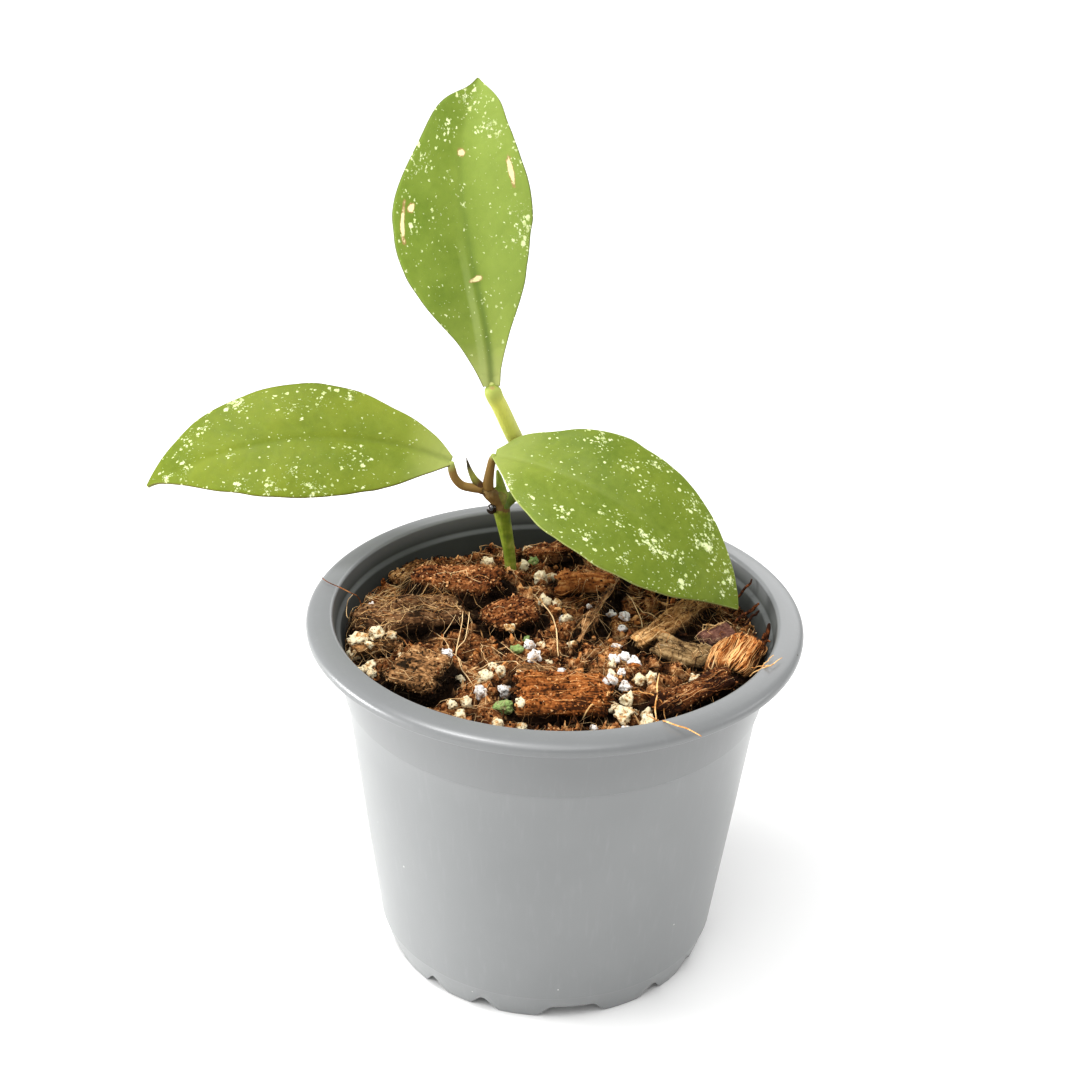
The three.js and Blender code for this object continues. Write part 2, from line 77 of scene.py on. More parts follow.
# Fractal noise: octaves of the noise above, each twice as fine and a share as strong.
def fractal(points, seed=0, octaves=4, share=0.5):
    points = np.asarray(points, float)
    total = sum(share ** k * noise(points * 2.03 ** k, seed + 17 * k) for k in range(octaves))
    return total / sum(share ** k for k in range(octaves))


# Catmull-Rom curve: the cubic through the points that leaves each along the line between its neighbours.
def throughPoints(points, count):
    points = np.asarray(points, float)
    padded = np.concatenate([[2 * points[0] - points[1]], points, [2 * points[-1] - points[-2]]])
    along = np.linspace(0, len(points) - 1, count)
    cell = np.minimum(along.astype(int), len(points) - 2)
    t = (along - cell)[:, None]
    a, b, c, d = (padded[cell + k] for k in range(4))
    square, cube = 2 * a - 5 * b + 4 * c - d, 3 * b - a - 3 * c + d
    return 0.5 * (2 * b + (c - a) * t + square * t ** 2 + cube * t ** 3)


# A value for each point of a mesh, one number or three
def addField(mesh, key, values):
    kind, slot = ("FLOAT", "value") if np.ndim(values) == 1 else ("FLOAT_VECTOR", "vector")
    mesh.attributes.new(key, kind, "POINT").data.foreach_set(slot, np.asarray(values, np.float32).ravel())


# A mesh from points in millimetres and faces, and where given a map, fields and a shading for each face
def newPiece(name, points, quads=(), triangles=(), uv=None, fields=None, smooth=True):
    quads = np.asarray(quads, np.int32).reshape(-1, 4)
    triangles = np.asarray(triangles, np.int32).reshape(-1, 3)
    corners = np.concatenate([quads.ravel(), triangles.ravel()])
    starts = np.concatenate([np.arange(len(quads)) * 4, len(quads) * 4 + np.arange(len(triangles)) * 3])
    mesh = bpy.data.meshes.new(name)
    mesh.vertices.add(len(points))
    mesh.vertices.foreach_set("co", (np.asarray(points) * mm).astype(np.float32).ravel())
    mesh.loops.add(len(corners))
    mesh.loops.foreach_set("vertex_index", corners)
    mesh.polygons.add(len(starts))
    mesh.polygons.foreach_set("loop_start", starts.astype(np.int32))
    mesh.polygons.foreach_set("use_smooth", np.array(np.broadcast_to(smooth, len(starts))))
    if uv is not None:
        layer = mesh.uv_layers.new(name="surface")
        layer.data.foreach_set("uv", np.asarray(uv, np.float32)[corners].ravel())
    for key, values in (fields or {}).items():
        addField(mesh, key, values)
    mesh.update(calc_edges=True)
    mesh.validate()
    piece = bpy.data.objects.new(name, mesh)
    bpy.context.scene.collection.objects.link(piece)
    return piece


# A piece's points, read back in millimetres
def pointsOf(piece):
    points = np.zeros(len(piece.data.vertices) * 3)
    piece.data.vertices.foreach_get("co", points)
    return points.reshape(-1, 3) / mm


# A piece's modifiers, worked out and put into its mesh
def applyModifiers(piece):
    ready = piece.evaluated_get(bpy.context.evaluated_depsgraph_get())
    mesh = bpy.data.meshes.new_from_object(ready)
    mesh.materials.clear()
    piece.modifiers.clear()
    piece.data = mesh


# All but the pot, the leaves and the stem is soil, and gets its depth below the crust at the end.
soilPieces = []
notSoilFinishes = ("pot_plastic", "leaf_skin", "stem_skin")


# The finish of a piece and its body, and the solids that it stands for, which are hidden. The slot only tells
# the soil from the rest.
def finishPiece(piece, slot, material, *replaced):
    if slot not in notSoilFinishes:
        soilPieces.append(piece)
    piece.data.materials.append(material)
    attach(piece, "root")
    if replaced:
        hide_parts(*replaced)


# Faces of a grid whose rows close round on themselves, with a point at each end to close it
def roundFaces(rows, columns):
    i, k = np.meshgrid(np.arange(rows - 1), np.arange(columns), indexing="ij")
    nextK = (k + 1) % columns
    row, nextRow = i * columns, (i + 1) * columns
    quads = np.stack([row + k, row + nextK, nextRow + nextK, nextRow + k], -1)
    k = np.arange(columns)
    first = np.full(columns, rows * columns)
    last = (rows - 1) * columns
    start = np.stack([first, (k + 1) % columns, k], -1)
    end = np.stack([first + 1, last + k, last + (k + 1) % columns], -1)
    return quads.reshape(-1, 4), np.concatenate([start, end])


# The same faces for each of many like grids, whose points follow one another
def repeatedFaces(rows, columns, count):
    quads, triangles = roundFaces(rows, columns)
    offset = (np.arange(count) * (rows * columns + 2))[:, None, None]
    return (quads + offset).reshape(-1, 4), (triangles + offset).reshape(-1, 3)


# Tubes along many paths at once: each ring is centre + radius (cos a side + sin a up), with side square to
# the path, and both ends close in a point. paths is strands by steps by 3, radii is strands by steps.
def tubes(paths, radii, sides):
    paths = np.asarray(paths, float)
    count, steps = paths.shape[:2]
    radii = np.broadcast_to(radii, (count, steps))
    ahead = unit(np.gradient(paths, axis=1))
    upright = np.abs(ahead[:, steps // 2, 2:]) > 0.8
    lead = np.where(upright, [[1.0, 0, 0]], [[0, 0, 1.0]])
    side = unit(np.cross(ahead, lead[:, None, :]))
    up = np.cross(ahead, side)
    angle = np.arange(sides) / sides * 2 * np.pi
    ring = np.cos(angle)[:, None] * side[:, :, None, :] + np.sin(angle)[:, None] * up[:, :, None, :]
    rings = paths[:, :, None, :] + radii[:, :, None, None] * ring
    first = paths[:, 0] - ahead[:, 0] * radii[:, :1] * 0.5
    last = paths[:, -1] + ahead[:, -1] * radii[:, -1:] * 0.5
    points = np.concatenate([rings.reshape(count, -1, 3), np.stack([first, last], 1)], 1)
    return points.reshape(-1, 3), *repeatedFaces(steps, sides, count)


# Several shapes as one: their points in a row, and their faces numbered on
def gather(parts):
    points, quads, triangles, start = [], [], [], 0
    for part in parts:
        points.append(part[0])
        quads.append(np.reshape(part[1], (-1, 4)) + start)
        triangles.append(np.reshape(part[2], (-1, 3)) + start)
        start += len(part[0])
    return np.concatenate(points), np.concatenate(quads), np.concatenate(triangles)


# Materials: short names for the nodes used below

# A principled material, with some of its inputs set
def startMaterial(name, **sockets):
    material = bpy.data.materials.new(name)
    material.use_nodes = True
    tree = material.node_tree
    shader = tree.nodes["Principled BSDF"]
    for key, value in sockets.items():
        shader.inputs[key.replace("_", " ")].default_value = value
    return material, tree, shader


# A node with its settings, and its inputs linked where they are sockets and set where they are values
def addNode(tree, kind, inputs=None, **settings):
    node = tree.nodes.new("ShaderNode" + kind)
    for key, value in settings.items():
        setattr(node, key, value)
    for key, value in (inputs or {}).items():
        if isinstance(value, bpy.types.NodeSocket):
            tree.links.new(value, node.inputs[key])
        else:
            node.inputs[key].default_value = value
    return node


# One step of arithmetic on sockets or numbers
def calc(tree, operation, a, b=0.0, clamp=False):
    return addNode(tree, "Math", {0: a, 1: b}, operation=operation, use_clamp=clamp).outputs[0]


# Colour a at share 0, colour b at share 1, and an even mix between them
def mixColour(tree, share, a, b):
    a, b = ((*colour, 1) if isinstance(colour, tuple) else colour for colour in (a, b))
    return addNode(tree, "Mix", {0: share, 6: a, 7: b}, data_type="RGBA").outputs[2]


# The way from low to high, taken evenly to the way from toLow to toHigh and held within it
def spread(tree, value, low, high, toLow=0.0, toHigh=1.0):
    return addNode(tree, "MapRange", {0: value, 1: low, 2: high, 3: toLow, 4: toHigh}).outputs[0]


# A colour that runs evenly through the stops, each of them a place from 0 to 1 and a colour
def ramp(tree, share, stops):
    node = addNode(tree, "ValToRGB", {0: share})
    band = node.color_ramp
    while len(band.elements) < len(stops):
        band.elements.new(0.5)
    for element, (place, colour) in zip(band.elements, stops):
        element.position = place
        element.color = (*colour, 1)
    return node.outputs[0]


# A value that addField gave to the mesh
def field(tree, name):
    return addNode(tree, "Attribute", attribute_name=name).outputs["Fac"]


# Blender's own fractal noise, from 0 to 1 and mostly near one half
def noiseNode(tree, where, scale, detail=3.0, roughness=0.5):
    inputs = {"Vector": where, "Scale": scale, "Detail": detail, "Roughness": roughness}
    return addNode(tree, "TexNoise", inputs).outputs["Fac"]


# The surface leans as if it were raised by the height times the distance, in metres.
def addBump(tree, shader, height, distance):
    bump = addNode(tree, "Bump", {"Height": height, "Distance": distance, "Strength": 1.0})
    tree.links.new(bump.outputs[0], shader.inputs["Normal"])


# The place in metres, in the object's own frame
def objectPlace(tree):
    return addNode(tree, "TexCoord").outputs["Object"]


# The x, y and z of a place, or the red, green and blue of a colour
def split(tree, kind, socket):
    return addNode(tree, "Separate" + kind, {0: socket}).outputs


# Painted shade: what lies below the crust around it is painted almost black, for the shade in the gaps. The
# share is reached at the deeper end.
gapShade = {"tone": (0.006, 0.003, 0.0015), "from": 0.55, "to": 2.5}


def paintDeepShade(tree, tone, share=0.97):
    deep = spread(tree, field(tree, "depth"), gapShade["from"], gapShade["to"], 0.0, share)
    return mixColour(tree, deep, tone, gapShade["tone"])


# Pot: a profile turned about the axis, with its corners rounded by a short parabola, and the foot ring
# lifted where the notches are. Lengths are in millimetres, and depths are taken down from the rim.
pot = {
    "mouth": 46.8, "lipDepth": 3.1, "ledgeDepth": 4.0, "ledge": 45.2, "upperWall": 47.0, "stepDepth": 17.5,
    "step": 44.3, "stepOut": 0.5, "shoulder": 37.1, "shoulderHeight": 6.4, "foot": 35.0, "footThickness": 1.6,
    "wall": 1.2, "floorUnderside": 3.6, "floorTop": 5.0, "pad": 9.0, "padFloor": 1.5,
    "notchHeight": 3.3, "notchFlank": 4.6, "notchFront": -80.0,
    # Centre and width of each foot in degrees from the front notch, the same to both sides of it
    "feet": ((19, 13.8), (41.5, 9.8), (63.5, 13.5), (90, 13), (116.5, 13.5), (138.5, 9.8), (161, 13.8)),
    "drainCount": 8, "drainCircle": 21.0, "drainRadius": 3.2, "drainSides": 40,
    "around": 384, "cornerSteps": 5, "longestStep": 7, "sharpFrom": 35,
}
potTones = {
    "body": (0.168, 0.174, 0.175), "lit": (0.188, 0.194, 0.195), "streak": (0.4, 0.41, 0.41),
    "band": (0.09, 0.093, 0.094), "dust": (0.75, 0.75, 0.72), "soil": (0.05, 0.04, 0.03),
    "inside": (0.012, 0.015, 0.011),
}


# Each corner is left at its rounding's reach before it, or sooner on a short side, and met again after it.
def roundedLine(corners):
    corners = np.asarray(corners, float)
    line = [corners[:1, :2]]
    share = np.linspace(0, 1, pot["cornerSteps"])[:, None]
    for before, here, after in zip(corners[:-2], corners[1:-1], corners[2:]):
        toBefore, toAfter = before[:2] - here[:2], after[:2] - here[:2]
        a = here[:2] + toBefore * min(0.45, here[2] / np.linalg.norm(toBefore))
        c = here[:2] + toAfter * min(0.45, here[2] / np.linalg.norm(toAfter))
        line.append((1 - share) ** 2 * a + 2 * share * (1 - share) * here[:2] + share ** 2 * c)
    line = np.concatenate(line + [corners[-1:, :2]])
    out = [line[:1]]
    for a, b in zip(line[:-1], line[1:]):
        pieces = max(1, math.ceil(np.linalg.norm(b - a) / pot["longestStep"]))
        out.append(a + (b - a) * np.linspace(0, 1, pieces + 1)[1:, None])
    return np.concatenate(out)


# Radius of the inner wall at a height: a straight slope from the shoulder up to the step
def innerWall(z):
    stepHeight = potTop - pot["stepDepth"]
    slope = (pot["step"] - pot["shoulder"]) / (stepHeight - pot["shoulderHeight"])
    return pot["shoulder"] - pot["wall"] + slope * (z - pot["shoulderHeight"])


# The foot ring's lower edge: nothing at the feet, rising evenly over the flank to the notch's height
def notchLift(angle):
    degrees = (np.degrees(angle) - pot["notchFront"] + 180) % 360 - 180
    nearest = np.min([np.abs(np.abs(degrees) - centre) - width / 2 for centre, width in pot["feet"]], axis=0)
    return pot["notchHeight"] * np.clip(nearest / pot["notchFlank"], 0, 1)


# The section's corners run from the axis under the floor, out and up the outside, over the rim and down the
# inside back to the axis. Each is a radius, a height and how far its rounding reaches.
def potPoints():
    top, rim, step = potTop, potRim, potTop - pot["stepDepth"]
    inFoot = pot["foot"] - pot["footThickness"]
    lip, ledgeTop = top - pot["lipDepth"], top - pot["ledgeDepth"]
    corners = [
        (0, 0, 0), (pot["pad"] - 1.5, 0, 0.4), (pot["pad"], pot["floorUnderside"], 0.5),
        (inFoot, pot["floorUnderside"], 0.4), (inFoot, 0, 0.3), (pot["foot"], 0, 0.35),
        (pot["shoulder"] - 0.15, pot["shoulderHeight"] - 0.35, 0.2),
        (pot["shoulder"], pot["shoulderHeight"], 0.25),
        (pot["step"], step, 0.12), (pot["step"] + pot["stepOut"], step + 0.25, 0.15),
        (pot["upperWall"], lip - 0.2, 0.5), (rim - 0.9, lip - 0.2, 0.2), (rim - 0.15, lip + 0.15, 0.3),
        (rim, top - 1.9, 0.5), (rim - 0.4, top - 1.1, 0.5), (rim - 1.4, top - 0.55, 0.6),
        (rim - 3.2, top - 0.15, 0.8), (pot["mouth"] + 0.5, top, 0.35), (pot["mouth"], top - 0.45, 0.3),
        (pot["ledge"] + 0.9, ledgeTop + 0.2, 0.25), (pot["ledge"], ledgeTop - 0.4, 0.25),
        (innerWall(step), step, 0.4), (innerWall(pot["floorTop"] + 1.2), pot["floorTop"] + 1.2, 0.5),
        (innerWall(pot["floorTop"]) - 1, pot["floorTop"], 0.6), (pot["pad"] - 0.6, pot["floorTop"], 0.6),
        (pot["pad"] - 2.2, pot["padFloor"], 0.5), (0, pot["padFloor"], 0),
    ]
    line = roundedLine(corners)
    angle = np.arange(pot["around"]) / pot["around"] * 2 * np.pi
    radius = np.repeat(line[1:-1, :1], pot["around"], 1)
    height = np.repeat(line[1:-1, 1:], pot["around"], 1)
    lift = notchLift(angle)[None, :]
    # At a notch the ring's outside and underside rise with the lift, less and less towards the wall above
    onFoot = (radius > inFoot - 0.01) & (height < pot["shoulderHeight"])
    outer = onFoot & (radius > inFoot + 0.35)
    inner = onFoot & ~outer & (height < pot["floorUnderside"])
    lifted = np.where(outer, lift + height * (1 - lift / pot["shoulderHeight"]), height)
    lifted = np.where(inner, lift + height * (1 - lift / pot["floorUnderside"]), lifted)
    flare = (pot["shoulder"] - pot["foot"]) / pot["shoulderHeight"]
    radius = np.where(outer, radius + flare * (lifted - height), radius)
    points = np.stack([radius * np.cos(angle), radius * np.sin(angle), lifted], -1)
    ends = np.array([[0, 0, line[0, 1]], [0, 0, line[-1, 1]]])
    quads, triangles = roundFaces(len(line) - 2, pot["around"])
    return np.concatenate([points.reshape(-1, 3), ends]), quads, triangles


# Each drain hole is cut by an upright round bar through the floor.
def cutDrains(piece):
    angle = (np.arange(pot["drainCount"]) + 0.5) / pot["drainCount"] * 2 * np.pi
    centre = pot["drainCircle"] * np.stack([np.cos(angle), np.sin(angle)], -1)
    paths = np.zeros((pot["drainCount"], 2, 3))
    paths[:, :, :2] = centre[:, None, :]
    paths[:, :, 2] = [pot["floorUnderside"] - 2, pot["floorTop"] + 2]
    bars = newPiece("drainBars", *tubes(paths, pot["drainRadius"], pot["drainSides"]))
    cut = piece.modifiers.new("drains", "BOOLEAN")
    cut.operation = "DIFFERENCE"
    cut.solver = "MANIFOLD"
    cut.object = bars
    applyModifiers(piece)
    bpy.data.objects.remove(bars)


# The inner side is what lies nearer to the axis than the middle of the wall, and starts 20 to 30 mm up.
def markInside(piece):
    points = pointsOf(piece)
    radius = np.hypot(points[:, 0], points[:, 1])
    low, high = potTop - pot["stepDepth"], potTop - pot["lipDepth"]
    flare = (pot["upperWall"] - pot["step"]) / (high - low)
    wallMiddle = pot["step"] + flare * (points[:, 2] - low) - 0.3 * pot["wall"]
    middle = np.minimum(wallMiddle, pot["mouth"] + 0.1)
    addField(piece.data, "inside", smoothStep(middle - radius, 0, 0.3) * smoothStep(points[:, 2], 20, 30))


# Satin plastic: two greys by a cloud, and each mark mixed over it by its own share
def potMaterial():
    material, tree, shader = startMaterial("potPlastic", Roughness=0.3, Specular_IOR_Level=0.6)
    where = objectPlace(tree)
    height = split(tree, "XYZ", where)[2]
    cloud = noiseNode(tree, where, 28, 4, 0.6)
    flow = addNode(tree, "Mapping", {"Vector": where, "Scale": (900, 900, 45)}).outputs[0]
    streak = noiseNode(tree, flow, 1.0, 3, 0.6)
    tone = mixColour(tree, spread(tree, cloud, 0.3, 0.7), potTones["body"], potTones["lit"])
    tone = mixColour(tree, spread(tree, streak, 0.55, 0.8, 0, 0.07), tone, potTones["streak"])
    # Painted shade: the band above the step is a little darker, for the shadow under the lip
    step = (potTop - pot["stepDepth"]) * mm
    above = spread(tree, height, step - 0.3 * mm, step + 0.4 * mm, 0, 0.26)
    tone = mixColour(tree, above, tone, potTones["band"])
    # Dust: small pale specks all over, and dark ones of soil near the rim
    dust = addNode(tree, "TexVoronoi", {"Vector": where, "Scale": 330})
    dustSize = spread(tree, split(tree, "Color", dust.outputs["Color"])[0], 0.94, 1.0, 0, 0.08)
    dustMask = calc(tree, "LESS_THAN", dust.outputs["Distance"], dustSize)
    tone = mixColour(tree, calc(tree, "MULTIPLY", dustMask, 0.6), tone, potTones["dust"])
    soil = addNode(tree, "TexVoronoi", {"Vector": where, "Scale": 210})
    soilSize = spread(tree, split(tree, "Color", soil.outputs["Color"])[1], 0.87, 1.0, 0, 0.085)
    soilMask = calc(tree, "LESS_THAN", soil.outputs["Distance"], soilSize)
    nearRim = spread(tree, height, (potTop - 10.3) * mm, (potTop - 3.3) * mm)
    tone = mixColour(tree, calc(tree, "MULTIPLY", soilMask, nearRim), tone, potTones["soil"])
    # Inside, the wall is stained by the wet mix and painted darker still, almost black, for the shade within
    # the pot. The painted darkness eases only at the ledge's edge.
    stain = spread(tree, cloud, 0.35, 0.65, 0.92, 1.0)
    fromEdge = calc(tree, "SUBTRACT", height, (potTop - pot["ledgeDepth"]) * mm)
    ledgeSpared = spread(tree, calc(tree, "ABSOLUTE", fromEdge), 0.2 * mm, 0.6 * mm, 0.7, 1.0)
    inside = field(tree, "inside")
    stainAndShade = calc(tree, "MULTIPLY", calc(tree, "MULTIPLY", inside, stain), ledgeSpared)
    tone = mixColour(tree, stainAndShade, tone, potTones["inside"])
    tree.links.new(tone, shader.inputs["Base Color"])
    rough = spread(tree, cloud, 0.3, 0.7, 0.28, 0.36)
    rough = calc(tree, "MAXIMUM", rough, calc(tree, "MULTIPLY", inside, 0.9))
    tree.links.new(rough, shader.inputs["Roughness"])
    addBump(tree, shader, noiseNode(tree, where, 2600, 2, 0.5), 0.008 * mm)
    return material


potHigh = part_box("pot")[1]
potRim, potTop = potHigh.x / mm, potHigh.z / mm
potPiece = newPiece("potShell", *potPoints())
cutDrains(potPiece)
markInside(potPiece)
potPiece.data.set_sharp_from_angle(angle=math.radians(pot["sharpFrom"]))
finishPiece(potPiece, "pot_plastic", potMaterial(), "pot")
print("pot:", len(potPiece.data.polygons), "faces")


# Leaves: the midrib leaves the stem by heading and pitch, bends down and twists evenly, and sweeps aside by
# the first sweep times the share of its length plus the second times the share's square. The blade is folded
# and cambered across it. Its outline gives the half widths left and right of the midrib. A cluster of flecks
# is a share along, a share across with left as plus, a reach in millimetres and a strength, and a scar has
# two reaches, along and across.
leaves = {
    "leaf_left": {
        "base": (-23.4, 27, 101.1), "heading": 183, "pitch": 23.3, "roll": -42, "length": 68.2,
        "bend": 31.4, "sweep": (45, 0), "twist": -4, "fold": (7, 2), "camber": 0.1,
        "outline": ((0, 1, 1.3), (0.07, 4.9, 4.7), (0.18, 9.6, 7.9), (0.32, 12.8, 11.5), (0.47, 13.4, 13.2),
                    (0.62, 12, 12.8), (0.77, 8.4, 10.4), (0.89, 3.7, 6.1), (0.96, 0.9, 2.6),
                    (1, 0.25, 0.25)),
        "petiole": ((-16.8, 28, 94.3), (-18.9, 27.6, 94.6), (-21.1, 27.3, 95.3), (-22.6, 27, 97.1),
                    (-23.3, 27, 99.2), (-23.5, 27, 100.9)),
        "petioleRadii": (1.15, 1, 0.95, 0.92, 0.9, 0.65), "basePale": 0.6,
        "ribTone": (0.08, 0.12, 0.01), "ribShare": 0.25,
        "flecks": ((0.87, 0.1, 2.0, 1.0), (0.84, -0.5, 2.4, 0.9), (0.93, 0.2, 2.0, 0.8),
                   (0.67, -0.86, 2.3, 1.2), (0.5, -0.6, 2.2, 0.9), (0.42, -0.62, 2.6, 0.8),
                   (0.34, -0.85, 1.8, 1.0), (0.52, 0.55, 2.0, 1.2), (0.7, 0.75, 2.6, 0.9),
                   (0.46, 0.88, 3.2, 1.0), (0.6, 0.8, 3.0, 0.8), (0.28, 0.5, 3.6, 0.5),
                   (0.72, 0.1, 2.0, 0.7), (0.78, -0.75, 2.4, 0.8), (0.36, 0.25, 3.0, 0.5)),
        "deep": (0.108, 0.152, 0.006), "fresh": (0.168, 0.208, 0.011), "rimTone": (0.12, 0.1, 0.02),
    },
    "leaf_right": {
        "base": (-14.1, 27, 103.3), "heading": -32.3, "pitch": 8.2, "roll": 26.6, "length": 66.4,
        "bend": 68.1, "sweep": (-11.5, 0), "twist": 1.9, "fold": (10, 2), "camber": 0.1,
        "outline": ((0, 1.5, 1.1), (0.07, 6.3, 5.2), (0.18, 10.3, 11.2), (0.32, 14.4, 15),
                    (0.47, 15.5, 16.1), (0.62, 14.2, 14.9), (0.77, 10.8, 10.9), (0.89, 6.2, 5.1),
                    (0.96, 2.9, 2), (1, 0.25, 0.25)),
        "petiole": ((-15.4, 28, 94.6), (-15.3, 27.6, 96.6), (-14.9, 27.3, 99.7), (-14.5, 27.1, 101.8),
                    (-14.1, 27, 103)),
        "petioleRadii": (1.3, 1.15, 0.95, 0.85, 0.6), "basePale": 0.4,
        "ribTone": (0.3, 0.36, 0.09), "ribShare": 0.18,
        "flecks": ((0.12, -0.85, 2.0, 1.0), (0.22, -0.75, 2.0, 0.8), (0.34, -0.6, 2.2, 1.1),
                   (0.44, -0.3, 1.8, 0.9), (0.5, -0.25, 2.2, 1.0), (0.6, -0.2, 2.4, 1.2),
                   (0.66, -0.3, 2.6, 1.3), (0.72, -0.2, 2.0, 0.9), (0.45, -0.72, 2.4, 0.8),
                   (0.58, -0.72, 2.6, 0.8), (0.78, -0.6, 3.2, 1.0), (0.74, 0.35, 2.4, 1.2),
                   (0.8, 0.5, 2.6, 1.1), (0.66, 0.78, 2.8, 1.0), (0.74, 0.85, 2.6, 0.9),
                   (0.9, 0.45, 3.4, 1.1), (0.52, 0.45, 2.4, 0.9), (0.42, 0.55, 2.4, 0.9),
                   (0.32, 0.7, 2.2, 0.9), (0.3, 0.95, 2.4, 0.8), (0.5, 0.85, 3.2, 0.7)),
        "deep": (0.09, 0.137, 0.008), "fresh": (0.142, 0.188, 0.015), "rimTone": (0.36, 0.4, 0.13),
    },
    "leaf_top": {
        "base": (-15, 29, 118.4), "heading": 105, "pitch": 84.2, "roll": -5.1, "length": 66.4, "bend": 22.7,
        "sweep": (61.9, -92.4), "twist": -5.6, "fold": (16, 8), "camber": 0.12,
        "outline": ((0, 2, 1.9), (0.07, 4, 2.6), (0.18, 7.5, 5.4), (0.32, 12.5, 10.3), (0.47, 16, 13.7),
                    (0.62, 14.6, 14.4), (0.77, 9.4, 12.2), (0.89, 6, 8.8), (0.96, 1.6, 5.6),
                    (1, 0.25, 0.25)),
        "petiole": ((-13.4, 30, 113.6), (-14.2, 29.6, 115.4), (-14.75, 29.35, 117), (-14.98, 29.5, 118.1),
                    (-15.1, 29.35, 118.9)),
        "petioleRadii": (1.7, 1.83, 1.86, 1.35, 0.6), "petioleFade": (-0.25, -0.03), "neck": 0.8,
        "joint": {"at": (-14.9, 118.25), "size": (1.4, 0.65), "front": 29.3, "strength": 0.48},
        "basePale": 1.0, "halves": 0.45, "ribTone": (0.07, 0.13, 0.02), "ribShare": 0.6, "stripe": 0.32,
        "petioleTone": (0.53, 0.545, 0.105),
        "flecks": ((0.92, 0.1, 3.2, 1.0), (0.82, 0.45, 1.8, 1.1), (0.84, -0.55, 2.8, 1.2),
                   (0.72, 0.75, 3.0, 0.9), (0.68, 0.2, 1.2, 1.1), (0.57, 0.35, 1.8, 0.9),
                   (0.54, 0.7, 2.2, 0.8), (0.55, -0.8, 2.2, 0.9), (0.45, -0.75, 2.2, 0.8),
                   (0.62, 0.0, 2.0, 0.5), (0.3, -0.1, 2.0, 0.4), (0.48, -0.95, 3.0, 0.8)),
        "scars": ((0.56, 0.86, 3.6, 0.45, 1.0), (0.6, 0.75, 0.8, 0.8, 0.9), (0.7, -0.78, 3.4, 0.6, 1.2),
                  (0.755, 0.0, 0.9, 0.9, 0.9), (0.355, 0.0, 0.6, 1.6, 0.9)),
        "deep": (0.108, 0.17, 0.014), "fresh": (0.188, 0.26, 0.034), "rimTone": (0.075, 0.085, 0.02),
    },
}
leafPlain = {
    "halves": 0.0, "stripe": 0.0, "petioleTone": (0.22, 0.13, 0.035), "petioleFade": (-0.07, -0.015),
    "neck": 0.0, "scars": (),
}
blade = {"rows": 150, "columns": 61, "midrib": 1.3, "margin": 0.7, "crease": 0.5}
petiole = {"steps": 30, "sides": 32, "share": -0.3}
leafTones = {
    "mottle": (0.27, 0.35, 0.04), "lightHalf": (0.31, 0.40, 0.08), "yellowBase": (0.36, 0.42, 0.09),
    "paleBase": (0.41, 0.45, 0.14), "stripe": (0.40, 0.48, 0.17), "vein": (0.28, 0.36, 0.07),
    "dullFleck": (0.50, 0.58, 0.22), "brightFleck": (0.70, 0.76, 0.42), "under": (0.26, 0.33, 0.09),
    "neck": (0.20, 0.26, 0.035), "scarRim": (0.36, 0.20, 0.08), "scarHeart": (0.80, 0.72, 0.36),
}


# Directions along, across and out of the blade at each share of its length. The first points by heading and
# pitch, and turns down by the bend and aside by the sweep. The others turn with it, by roll and by twist.
def leafFrames(leaf, share):
    heading, pitch, roll = np.radians([leaf["heading"], leaf["pitch"], leaf["roll"]])
    ahead = np.array([np.cos(pitch) * np.cos(heading), np.cos(pitch) * np.sin(heading), np.sin(pitch)])
    level = np.array([-np.sin(heading), np.cos(heading), 0])
    left = level * np.cos(roll) + np.cross(ahead, level) * np.sin(roll)
    up = np.cross(ahead, left)
    bend = (np.radians(leaf["bend"]) * share)[:, None]
    sweep = (np.radians(leaf["sweep"][0]) * share + np.radians(leaf["sweep"][1]) * share ** 2)[:, None]
    along = ahead * np.cos(bend) * np.cos(sweep) + left * np.cos(bend) * np.sin(sweep) - up * np.sin(bend)
    across = unit(np.cross(ahead * np.sin(bend) + up * np.cos(bend), along))
    twist = (np.radians(leaf["twist"]) * share)[:, None]
    across = across * np.cos(twist) + np.cross(along, across) * np.sin(twist)
    return along, across, np.cross(along, across)


# The midrib is the running sum of its direction in small steps, from the leaf's base on.
def midribPoints(leaf, share):
    count = 400
    along = leafFrames(leaf, (np.arange(count) + 0.5) / count)[0]
    line = np.concatenate([[[0, 0, 0]], np.cumsum(along, 0) * leaf["length"] / count]) + leaf["base"]
    at = np.linspace(0, 1, count + 1)
    return np.stack([np.interp(share, at, line[:, k]) for k in range(3)], -1)


